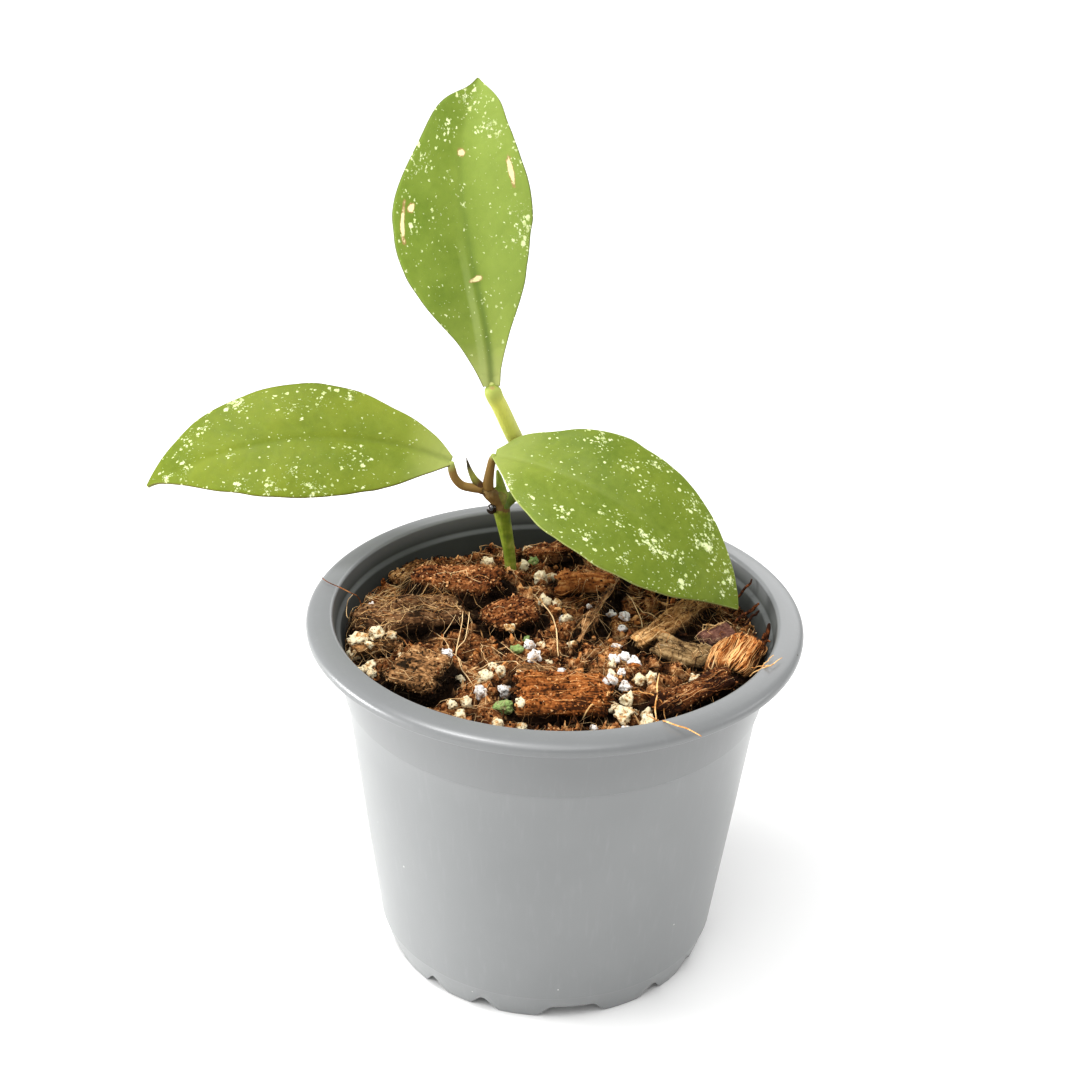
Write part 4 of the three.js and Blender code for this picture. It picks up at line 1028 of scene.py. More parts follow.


# Tone by six parts of a coarse noise and four of a fine one, painted darker with the depth as shade in the
# gaps
def mixMaterial():
    material, tree, shader = startMaterial("mixCrumb", Roughness=0.9, Specular_IOR_Level=0.06)
    where = objectPlace(tree)
    coarse, fine = noiseNode(tree, where, 330, 4, 0.65), noiseNode(tree, where, 1500, 3, 0.6)
    value = calc(tree, "ADD", calc(tree, "MULTIPLY", coarse, 0.6), calc(tree, "MULTIPLY", fine, 0.4))
    tree.links.new(paintDeepShade(tree, ramp(tree, value, bed["tones"])), shader.inputs["Base Color"])
    addBump(tree, shader, calc(tree, "ADD", coarse, calc(tree, "MULTIPLY", fine, 0.6)), 0.25 * mm)
    return material


finishPiece(bedPiece(), "potting_mix", mixMaterial(), "potting_mix")
print("bed done")


# The height of what lies on the bed, on a fine plan grid. The chunks and the raised crumbs lift it as they
# are laid down. Nothing is strewn where bare is 1, and where it is one half only what is fine.
crust = {"reach": 46.0, "cell": 0.4, "strewnReach": 44.2, "fibreReach": 44.3}
crust["count"] = int(2 * crust["reach"] / crust["cell"]) + 1
crustLine = np.linspace(-crust["reach"], crust["reach"], crust["count"])
crustX, crustY = np.meshgrid(crustLine, crustLine, indexing="ij")
crustTop = bedHeight(crustX, crustY) + bedRelief(crustX, crustY)
bare = np.zeros(crustTop.shape)


# The cell of the plan grid nearest to each place
def crustCell(x, y):
    cell = np.round((np.stack([x, y]) + crust["reach"]) / crust["cell"]).astype(int)
    return tuple(np.clip(cell, 0, crust["count"] - 1))


# Each cell of the crust rises to the highest of the points over it.
def raiseCrust(points):
    np.maximum.at(crustTop, crustCell(points[:, 0], points[:, 1]), points[:, 2])


# The cells below the points are marked, at least up to the level.
def keepBare(points, level=1.0):
    np.maximum.at(bare, crustCell(points[:, 0], points[:, 1]), level)


# Height at any place: the four nearest cells, weighed by how near they are
def crustHeight(x, y):
    cell = np.stack([x, y]) / crust["cell"] + crust["reach"] / crust["cell"]
    cell = np.clip(cell, 0, crust["count"] - 1.001)
    (i, k), (a, b) = cell.astype(int), cell % 1
    low = crustTop[i, k] * (1 - a) + crustTop[i + 1, k] * a
    high = crustTop[i, k + 1] * (1 - a) + crustTop[i + 1, k + 1] * a
    return low * (1 - b) + high * b


# Roll about the length, then pitch up, then heading, all in degrees
def turnMatrices(heading, pitch, roll):
    h, p, r = np.radians([heading, pitch, roll])
    one, none = np.ones_like(h), np.zeros_like(h)
    aboutZ = np.array([[np.cos(h), -np.sin(h), none], [np.sin(h), np.cos(h), none], [none, none, one]])
    aboutY = np.array([[np.cos(p), none, -np.sin(p)], [none, one, none], [np.sin(p), none, np.cos(p)]])
    aboutX = np.array([[one, none, none], [none, np.cos(r), -np.sin(r)], [none, np.sin(r), np.cos(r)]])
    return np.einsum("ij...,jk...,kl...->...il", aboutZ, aboutY, aboutX)


# Lumps: spheres of a few rings, pushed in and out by three octaves of noise, scaled, turned and placed
def lumps(places, sizes, seed, rings, sides, rough=0.3, pitch=1.3):
    draw = np.random.default_rng(seed)
    count = len(places)
    ways = ballWays(rings, sides)
    reach = 1
    for octave, (share, finer) in enumerate(((1, 1), (0.5, 2.7), (0.25, 5.5))):
        place = ways * pitch * finer + draw.uniform(-50, 50, (count, 1, 3))
        reach = reach + share * rough * noise(place, seed + octave)
    shape = ways * reach[..., None] * np.asarray(sizes)[:, None, :]
    turned = np.einsum("nij,nkj->nki", turnMatrices(*draw.uniform(0, 360, (3, count))), shape)
    points = (turned + np.asarray(places)[:, None, :]).reshape(-1, 3)
    return points, *repeatedFaces(rings, sides, count)


# Quarter of the superellipse |x/a|^e + |y/b|^e = 1, from (a, 0) to (0, b), in steps of even length
def quarterArc(a, b, exponent, count):
    t = np.linspace(0, np.pi / 2, 500)
    line = np.stack([a * np.cos(t) ** (2 / exponent), b * np.sin(t) ** (2 / exponent)], -1)
    length = np.concatenate([[0], np.cumsum(np.linalg.norm(np.diff(line, axis=0), axis=1))])
    at = np.linspace(0, length[-1], count)
    return np.stack([np.interp(at, length, line[:, k]) for k in range(2)], -1)


# Husk and bark: blocks whose side view and cross-section are superellipses. They are pushed outwards by
# noise drawn out along the grain for the fibres, by fractal noise for the crumbs, and at the broken ends by
# noise across it.
def chunkGrid(size, ridge, crumb, fray, seed):
    length, width, height = np.array(size) / 2
    half, quarter = max(24, round(3.6 * length)), max(9, round(1.5 * (width + height)))
    side = quarterArc(length, width, 6, half)
    along = np.concatenate([-side[1:, 0], side[-2:0:-1, 0]])[:, None]
    share = np.concatenate([side[1:, 1], side[-2:0:-1, 1]])[:, None] / width
    arc = quarterArc(width, height, 4.2, quarter)
    y = np.concatenate([arc[:-1, 0], -arc[:0:-1, 0], -arc[:-1, 0], arc[:0:-1, 0]])
    z = np.concatenate([arc[:-1, 1], arc[:0:-1, 1], -arc[:-1, 1], -arc[:0:-1, 1]])
    points = np.stack([along + 0 * y, share * y, share * z], -1)
    points = np.concatenate([points.reshape(-1, 3), [[-length, 0, 0], [length, 0, 0]]])
    out = unit(np.sign(points) * np.abs(points / [length, width, height]) ** 3 / [length, width, height])
    push = 0.9 * noise(points / [6, 3.6, 3.6], seed)
    push += ridge * noise(points / [9, 1.1, 1.1], seed + 1)
    push += 0.5 * ridge * noise(points / [5, 0.5, 0.5], seed + 2)
    push += crumb * fractal(points / 1.5, seed + 3, 3, 0.6)
    points = points + out * push[:, None]
    blunt = smoothStep(np.abs(points[:, 0]) / length, 0.75, 1)
    points[:, 0] += np.sign(points[:, 0]) * blunt * fray * (noise(points / [9, 0.9, 0.9], seed + 4) - 0.2)
    return points, out, len(along), len(y)


# Strands follow a wavering column of the chunk's grid from row to row, and some run on past its end.
strand = {"steps": 12, "sides": 3}


def chunkStrands(points, out, rows, columns, chunk, seed):
    draw = np.random.default_rng(seed)
    count, steps = chunk["strands"], strand["steps"]
    start = draw.uniform(0.02, 0.75, (count, 1))
    share = start + draw.uniform(0.15, 0.5, (count, 1)) * np.linspace(0, 1, steps)
    share = np.clip(share, 0, 1) * (rows - 1)
    waver = noise(np.stack([share / 9, np.arange(count)[:, None] * 7.3 + 0 * share, 0 * share], -1), seed)
    column = draw.uniform(0, columns, (count, 1)) + chunk["waver"] * waver
    i, k = np.minimum(share.astype(int), rows - 2), np.floor(column).astype(int)
    a, b = (share - i)[..., None], (column - k)[..., None]
    k0, k1 = k % columns, (k + 1) % columns

    # The grid's values at the strands' places, weighed by how near the four corners are
    def blend(values):
        grid = values[:-2].reshape(rows, columns, 3)
        low = grid[i, k0] * (1 - a) + grid[i + 1, k0] * a
        high = grid[i, k1] * (1 - a) + grid[i + 1, k1] * a
        return low * (1 - b) + high * b

    lift = 0.45 * np.maximum(0, noise(np.stack([share / 6, column, 0 * share], -1), seed + 1))
    path = blend(points) + blend(out) * (chunk["radius"] * 0.4 + lift)[..., None]
    lead = unit(path[:, -1] - path[:, -4]) + draw.normal(0, 0.25, (count, 3))
    run = np.linspace(0, 1, steps)[None, :] ** 3 * (share[:, -1:] > 0.85 * rows)
    path = path + lead[:, None, :] * (run * draw.uniform(0, chunk["stray"], (count, 1)))[..., None]
    taper = 1 - 0.6 * np.abs(np.linspace(-1, 1, steps)) ** 3
    return tubes(path, chunk["radius"] * draw.uniform(0.5, 1.3, (count, 1)) * taper, strand["sides"])


# Colours from the dark of the pits to the palest fibre, and where along the tone each of the four stands
looks = {
    "greyHusk": ((0.016, 0.007, 0.002), (0.105, 0.046, 0.018), (0.25, 0.132, 0.056), (0.64, 0.42, 0.22)),
    "redHusk": ((0.016, 0.004, 0.001), (0.140, 0.040, 0.010), (0.32, 0.118, 0.035), (0.78, 0.44, 0.19)),
    "darkHusk": ((0.014, 0.007, 0.002), (0.18, 0.082, 0.029), (0.42, 0.215, 0.085), (0.76, 0.52, 0.26)),
    "orangeHusk": ((0.03, 0.008, 0.001), (0.26, 0.074, 0.015), (0.50, 0.188, 0.048), (0.88, 0.50, 0.20)),
    "tanBark": ((0.03, 0.012, 0.003), (0.26, 0.12, 0.035), (0.54, 0.29, 0.105), (0.90, 0.62, 0.30)),
    "greyBark": ((0.035, 0.019, 0.007), (0.21, 0.125, 0.05), (0.36, 0.235, 0.105), (0.60, 0.44, 0.25)),
    "plumBark": ((0.022, 0.008, 0.005), (0.085, 0.034, 0.024), (0.17, 0.078, 0.052), (0.36, 0.22, 0.15)),
    "fanHusk": ((0.04, 0.010, 0.002), (0.28, 0.088, 0.018), (0.57, 0.25, 0.066), (0.96, 0.62, 0.27)),
    "tanHusk": ((0.025, 0.011, 0.004), (0.21, 0.092, 0.029), (0.48, 0.25, 0.092), (0.88, 0.62, 0.32)),
}
lookStops = (0.35, 0.46, 0.575, 0.76)


# Tone by noise along the grain plus the piece's own tint; the same noise lifts the surface.
def huskMaterial(name, look, stretch=(170, 1500, 1500), bump=0.22):
    material, tree, shader = startMaterial(name, Roughness=0.85, Specular_IOR_Level=0.08)
    local = addNode(tree, "Attribute", attribute_name="local").outputs["Vector"]
    drawn = addNode(tree, "Mapping", {"Vector": local, "Scale": stretch}).outputs[0]
    fibre, crumb = noiseNode(tree, drawn, 1.0, 3, 0.65), noiseNode(tree, local, 1100, 3, 0.65)
    patch = calc(tree, "SUBTRACT", noiseNode(tree, local, 220, 3, 0.5), 0.5)
    tint = calc(tree, "SUBTRACT", field(tree, "tint"), 0.5)
    value = calc(tree, "ADD", calc(tree, "MULTIPLY", fibre, 0.5), calc(tree, "MULTIPLY", crumb, 0.5))
    value = calc(tree, "ADD", value, calc(tree, "MULTIPLY", patch, 0.5))
    value = calc(tree, "ADD", value, calc(tree, "MULTIPLY", tint, 0.42))
    # Painted shade: the tone turns darker with the depth below the crust
    tone = paintDeepShade(tree, ramp(tree, value, list(zip(lookStops, looks[look]))))
    tree.links.new(tone, shader.inputs["Base Color"])
    tree.links.new(spread(tree, fibre, 0.3, 0.7, 0.75, 0.95), shader.inputs["Roughness"])
    addBump(tree, shader, calc(tree, "ADD", fibre, calc(tree, "MULTIPLY", crumb, 0.7)), bump * mm)
    return material


# A block, its strands and its flat-faced crumbs in one mesh, turned and set in place
def chunkPiece(name, chunk, seed):
    draw = np.random.default_rng(seed)
    points, out, rows, columns = chunkGrid(chunk["size"], chunk["ridge"], chunk["crumb"], chunk["fray"], seed)
    strands = chunkStrands(points, out, rows, columns, chunk, seed)
    count = chunk["crumbs"]
    at = draw.integers(0, rows * columns, count)
    breadth = draw.uniform(*chunk["crumbSize"], (count, 1)) * draw.uniform(0.6, 1.3, (count, 3))
    crumbs = lumps(points[at] + out[at] * breadth.mean(1, keepdims=True) * 0.4, breadth, seed, 2, 4, 0.5)
    parts = [(points, *roundFaces(rows, columns)), strands, crumbs]
    smooth = np.concatenate([np.repeat([True, True, False], [len(part[faces]) for part in parts])
                             for faces in (1, 2)])
    local, quads, triangles = gather(parts)
    world = local @ turnMatrices(*chunk["turn"]).T + np.array(chunk["at"]) + [0, 0, potTop]
    strandTint = draw.uniform(*chunk["strandTint"], chunk["strands"])
    crumbTint = draw.uniform(*chunk["crumbTint"], count)
    tint = np.concatenate([np.full(len(points), chunk["base"]),
                           np.repeat(strandTint, len(strands[0]) // chunk["strands"]),
                           np.repeat(crumbTint, len(crumbs[0]) // count)])
    raiseCrust(world[:len(points)])
    keepBare(world[:len(points)], 1.0 if chunk["bare"] else 0.5)
    fields = {"tint": tint, "local": local * mm + seed}
    piece = newPiece(name + "Rough", world, quads, triangles, smooth=smooth, fields=fields)
    slot = "bark" if name.startswith("bark") else "coconut_husk"
    replaced = [name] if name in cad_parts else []
    finishPiece(piece, slot, huskMaterial(name + "Grain", chunk["look"]), *replaced)


for seed, (name, chunk) in enumerate(chunks.items(), 31):
    chunkPiece(name, {**chunkPlain, **chunk}, seed)
print("husk and bark done")


# Grains: the larger ones stand where the solids do, and the small ones are listed by place and breadth.
grainLooks = {
    "white": {"slot": "perlite", "deep": (0.68, 0.6, 0.52), "fresh": (0.93, 0.9, 0.86),
              "stain": (0.42, 0.25, 0.13)},
    "cream": {"slot": "pumice", "deep": (0.66, 0.42, 0.16), "fresh": (0.88, 0.76, 0.5),
              "stain": (0.38, 0.14, 0.03)},
    "green": {"slot": "algae_pumice", "deep": (0.07, 0.14, 0.025), "fresh": (0.26, 0.38, 0.12),
              "stain": (0.55, 0.46, 0.24)},
}
smallGrains = {
    "white": ((18.6, 2.2, 1.9), (-5.3, -5.5, 2), (-16.3, -33.9, 1.9), (1.5, -12.7, 1.8), (12.5, 11.5, 2),
              (14.5, 5.1, 1.9), (13.2, -3.9, 1.7), (12.5, -10.2, 2), (14.8, -8.5, 2.2), (14, -15.8, 2),
              (11.7, -20.6, 2.5), (14.5, -33.7, 2.3), (8.3, -33.7, 1.9), (10.4, -21.8, 1.4),
              (-24.6, -15, 1.3), (2, 9.5, 1.4), (10.5, 16.8, 1.3), (7.6, 13.2, 1.1), (-7.2, 11.8, 1.2)),
    "cream": ((-41.2, -7.2, 3.4), (-37.4, -5.2, 2.8), (-34.4, -4.6, 2), (-32, -9.4, 2.2), (-38.4, -8.8, 2),
              (-37.6, -16.7, 2), (-40.2, -15.3, 2), (-19.1, -16.1, 2.2), (-6.4, -33.8, 2.4),
              (3.9, -29.3, 2), (-6.2, 43, 2.2), (2.6, 7.5, 2.4), (12, -12.7, 1.9), (12, -16.3, 2),
              (19.9, -18.2, 2.2), (29.1, -14.9, 2.2), (-0.8, -10.2, 2), (3.9, -2.1, 2), (-12.5, -11.8, 2.4),
              (-11, -15.3, 2.3), (-6.6, -20.2, 2.4), (-17.4, -25.6, 2.4), (-20.4, -27.6, 2),
              (-6.2, -30, 2.6), (19, -28.5, 2.6), (16.5, -27, 2.2), (11.8, -28.5, 2.8), (-7, 31, 2.6),
              (-1, 28.4, 2.2), (-34.6, -24, 1.8), (0.5, 14, 2.2), (10, -1.5, 1.8), (-2.5, -2.5, 2.2),
              (-9.5, -0.5, 1.8)),
    "green": ((-6, -1.2, 1.8), (-26, -10.5, 1.6), (13.8, -30.6, 2.2), (-5.6, 33.6, 2)),
}
grainShape = {"large": (18, 28, 0.42), "small": (10, 14, 0.5), "pitch": 1.6, "pit": (0.12, 0.06, 0.03)}
greened = ("pumice_06", "pumice_11", "pumice_14")
cadGrains = {tone: [] for tone in grainLooks}
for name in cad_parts:
    if name in greened:
        cadGrains["green"].append(name)
    elif name.startswith("perlite"):
        cadGrains["white"].append(name)
    elif name.startswith("pumice"):
        cadGrains["cream"].append(name)


# Two tones in patches, stained where they meet, with dark pits at the hearts of bent Voronoi cells
def grainMaterial(tone, look):
    material, tree, shader = startMaterial(tone + "Grain", Roughness=0.8, Specular_IOR_Level=0.15)
    where = objectPlace(tree)
    patch, fine = noiseNode(tree, where, 600, 3, 0.6), noiseNode(tree, where, 2600, 2, 0.6)
    bent = addNode(tree, "TexNoise", {"Vector": where, "Scale": 1800, "Detail": 2}).outputs["Color"]
    bent = addNode(tree, "VectorMath", {0: bent, "Scale": 0.7 * mm}, operation="SCALE").outputs[0]
    bent = addNode(tree, "VectorMath", {0: bent, 1: where}, operation="ADD").outputs[0]
    pits = addNode(tree, "TexVoronoi", {"Vector": bent, "Scale": 1150}).outputs["Distance"]
    colour = mixColour(tree, spread(tree, patch, 0.36, 0.5), look["deep"], look["fresh"])
    stain = calc(tree, "MULTIPLY", spread(tree, patch, 0.50, 0.38), spread(tree, fine, 0.38, 0.55, 0, 0.85))
    colour = mixColour(tree, stain, colour, look["stain"])
    colour = mixColour(tree, spread(tree, pits, 0.12, 0.3, 0.85, 0.0), colour, grainShape["pit"])
    # Painted shade: darker with the depth below the crust, to a share of 0.3
    tree.links.new(paintDeepShade(tree, colour, 0.3), shader.inputs["Base Color"])
    addBump(tree, shader, calc(tree, "ADD", fine, spread(tree, pits, 0.05, 0.45)), 0.25 * mm)
    return material


# The larger grains fill their solids' boxes, and a small one's centre is half its radius over the crust.
def grainPiece(tone, seed):
    draw = np.random.default_rng(seed)
    low, high = np.moveaxis([np.array(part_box(name)) for name in cadGrains[tone]], 1, 0) / mm
    large = lumps((low + high) / 2 + [0, 0, 0.3], 0.98 * (high - low) / 2, seed, *grainShape["large"],
                  grainShape["pitch"])
    x, y, breadth = np.array(smallGrains[tone]).T
    sizes = breadth[:, None] / 2 * draw.uniform(0.75, 1.2, (len(x), 3))
    places = np.stack([x, y, crustHeight(x, y) + 0.5 * sizes.mean(1)], -1)
    small = lumps(places, sizes, seed + 1, *grainShape["small"], grainShape["pitch"])
    keepBare(np.concatenate([small[0], large[0]]))
    piece = newPiece(tone + "Grains", *gather([large, small]))
    look = grainLooks[tone]
    finishPiece(piece, look["slot"], grainMaterial(tone, look), *cadGrains[tone])


for seed, tone in enumerate(grainLooks, 61):
    grainPiece(tone, seed)
print("grains done")


# Crumbs and flakes strewn over the bed, bedded a little into whatever is below them. size is the range of
# their radii, and squash their shape. Where raised, they lift the crust for what comes later, and open
# kinds keep off the chunks.
strewn = {
    "clods": {"count": 130, "size": (1.3, 3.4), "squash": (1, 0.8, 0.5), "tint": (0.25, 0.75), "rings": 7,
              "sides": 10, "look": "redHusk", "rough": 0.8, "raised": True, "open": True},
    "coirCrumbs": {"count": 4600, "size": (0.16, 0.62), "squash": (1, 0.8, 0.7), "tint": (-0.1, 0.9),
                   "rings": 2, "sides": 4, "look": "redHusk"},
    "coirFlakes": {"count": 1300, "size": (0.4, 1.35), "squash": (1, 0.5, 0.18), "tint": (0.0, 0.95),
                   "rings": 2, "sides": 4, "look": "redHusk", "open": True},
    "barkBits": {"count": 300, "size": (0.6, 1.9), "squash": (1, 0.5, 0.32), "tint": (0.1, 0.9), "rings": 4,
                 "sides": 5, "look": "orangeHusk", "open": True},
    "shreds": {"count": 190, "size": (1.2, 3), "squash": (1, 0.16, 0.1), "tint": (0.1, 1.0), "rings": 6,
               "sides": 4, "look": "tanHusk", "open": True},
    "paleSpecks": {"count": 900, "size": (0.1, 0.26), "squash": (1, 0.8, 0.8), "tint": (0.9, 1.4),
                   "rings": 1, "sides": 4, "look": "tanHusk"},
    "goldBits": {"count": 3400, "size": (0.12, 0.42), "squash": (1, 0.45, 0.4), "tint": (0.1, 1.15),
                 "rings": 1, "sides": 4, "look": "fanHusk"},
}
strewnPlain = {"rough": 0.45, "raised": False, "open": False}


# Places are drawn evenly over the disc, twice as many as needed, and those kept have the most of a patchy
# noise less a random draw, and nothing bare below them.
def strewnPiece(name, kind, seed):
    draw = np.random.default_rng(seed)
    count = kind["count"] * 2
    radius = crust["strewnReach"] * np.sqrt(draw.uniform(0, 1, count))
    angle = draw.uniform(0, 2 * np.pi, count)
    x, y = radius * np.cos(angle), radius * np.sin(angle)
    patchy = 0.5 + noise(np.stack([x, y, 0 * x], -1) / 4, seed)
    shut = bare[crustCell(x, y)] > (0.2 if kind["open"] else 0.7)
    keep = np.argsort(patchy - draw.uniform(0, 1.2, count) - 9 * shut)[-kind["count"]:]
    x, y, count = x[keep], y[keep], kind["count"]
    breadth = draw.uniform(*kind["size"], count) * draw.uniform(0.5, 1, count)
    sizes = breadth[:, None] * np.array(kind["squash"]) * draw.uniform(0.8, 1.2, (count, 3))
    places = np.stack([x, y, crustHeight(x, y) + draw.uniform(-0.1, 0.4, count) * sizes.mean(1)], -1)
    if kind["raised"]:
        sizes = sizes * 0.5
    points, quads, triangles = lumps(places, sizes, seed, kind["rings"], kind["sides"], kind["rough"])
    if kind["raised"]:
        raiseCrust(points)
    tint = np.repeat(draw.uniform(*kind["tint"], count), len(points) // count)
    fields = {"tint": tint, "local": points * mm}
    piece = newPiece(name, points, quads, triangles, fields=fields, smooth=False)
    finishPiece(piece, "coconut_husk", huskMaterial(name + "Grain", kind["look"], (900, 1200, 1200)))


for seed, (name, kind) in enumerate(strewn.items(), 71):
    strewnPiece(name, {**strewnPlain, **kind}, seed)
print("crumbs done")


# Short fibres: each is a shallow arc over the crust, c + h s + n b s^2 with s along it, held a little off
# it. radius, arch and reach are in millimetres, and heading is a range in degrees.
shortFibre = {"steps": 7, "sides": 3, "over": 0.12, "highest": 1.5}


def looseFibres(count, lengths, radius, arch, seed, centre=(0, 0), reach=43.5, heading=(0, 360)):
    draw = np.random.default_rng(seed)
    each = (count, 1)
    s = np.linspace(-0.5, 0.5, shortFibre["steps"])[None, :]
    length = draw.uniform(*lengths, each)
    angle = np.radians(draw.uniform(*heading, each))
    away, around = reach * np.sqrt(draw.uniform(0, 1, each)), draw.uniform(0, 2 * np.pi, each)
    bow = draw.normal(0, 0.35, each) * length * (4 * s ** 2 - 0.3)
    bow += 0.12 * length * np.sin(s * draw.uniform(4, 12, each) + draw.uniform(0, 6, each))
    x = centre[0] + away * np.cos(around) + np.cos(angle) * length * s - np.sin(angle) * bow
    y = centre[1] + away * np.sin(around) + np.sin(angle) * length * s + np.cos(angle) * bow
    inwards = np.minimum(1, crust["fibreReach"] / np.hypot(x, y))
    x, y = x * inwards, y * inwards
    z = crustHeight(x, y)
    # The hollows between neighbours are bridged, and then the line is softened
    z[:, 1:-1] = np.maximum(z[:, 1:-1], (z[:, :-2] + z[:, 2:]) / 2)
    z[:, 1:-1] = (z[:, :-2] + 2 * z[:, 1:-1] + z[:, 2:]) / 4
    arched = arch * draw.uniform(0, 1, each) * (1 - 4 * s ** 2)
    z = z + shortFibre["over"] + arched + draw.uniform(-0.2, 0.5, each) * s
    z = np.minimum(z, potTop + shortFibre["highest"])
    width = radius * draw.uniform(0.5, 1.3, each) * (1 - 0.5 * np.abs(2 * s) ** 3)
    return tubes(np.stack([x, y, z], -1), width, shortFibre["sides"])


# Each set is a count, a range of lengths, a radius, an arch and a seed, and then, where it isn't spread
# over the whole bed, its centre, reach and headings.
fibreSets = {
    "fineFibres": {
        "tint": (0.1, 1.2), "look": "tanHusk",
        "sets": ((1100, (2, 7), 0.05, 0.4, 81), (120, (6, 16), 0.06, 1.1, 82),
                 (80, (3, 9), 0.05, 1.2, 83, (37, 8), 7),
                 (120, (6, 15), 0.05, 0.5, 84, (-33, 11), 10, (8, 34)),
                 (80, (3, 9), 0.055, 0.8, 85, (-40, -8), 7)),
    },
    "goldFibres": {
        "tint": (0.35, 1.25), "look": "fanHusk",
        "sets": ((60, (5, 15), 0.045, 0.6, 101, (-32, 9), 10, (5, 36)),
                 (30, (4, 12), 0.045, 0.7, 102, (-39, -2), 6, (-10, 50)), (120, (3, 10), 0.045, 0.8, 103),
                 (35, (4, 10), 0.045, 1.0, 104, (30, 8), 9, (20, 80))),
    },
    "darkFibres": {
        "tint": (-0.2, 0.6), "look": "redHusk",
        "sets": ((500, (2, 7), 0.07, 0.5, 86), (50, (3, 8), 0.1, 1.4, 87, (41, 16), 5)),
    },
}
for name, group in fibreSets.items():
    parts = [looseFibres(*one) for one in group["sets"]]
    draw = np.random.default_rng(91)
    tint = [np.repeat(draw.uniform(*group["tint"], one[0]), len(part[0]) // one[0])
            for one, part in zip(group["sets"], parts)]
    points, quads, triangles = gather(parts)
    fields = {"tint": np.concatenate(tint), "local": points * mm}
    piece = newPiece(name, points, quads, triangles, fields=fields)
    finishPiece(piece, "coconut_husk", huskMaterial(name + "Grain", group["look"], (500, 500, 500), 0.03))


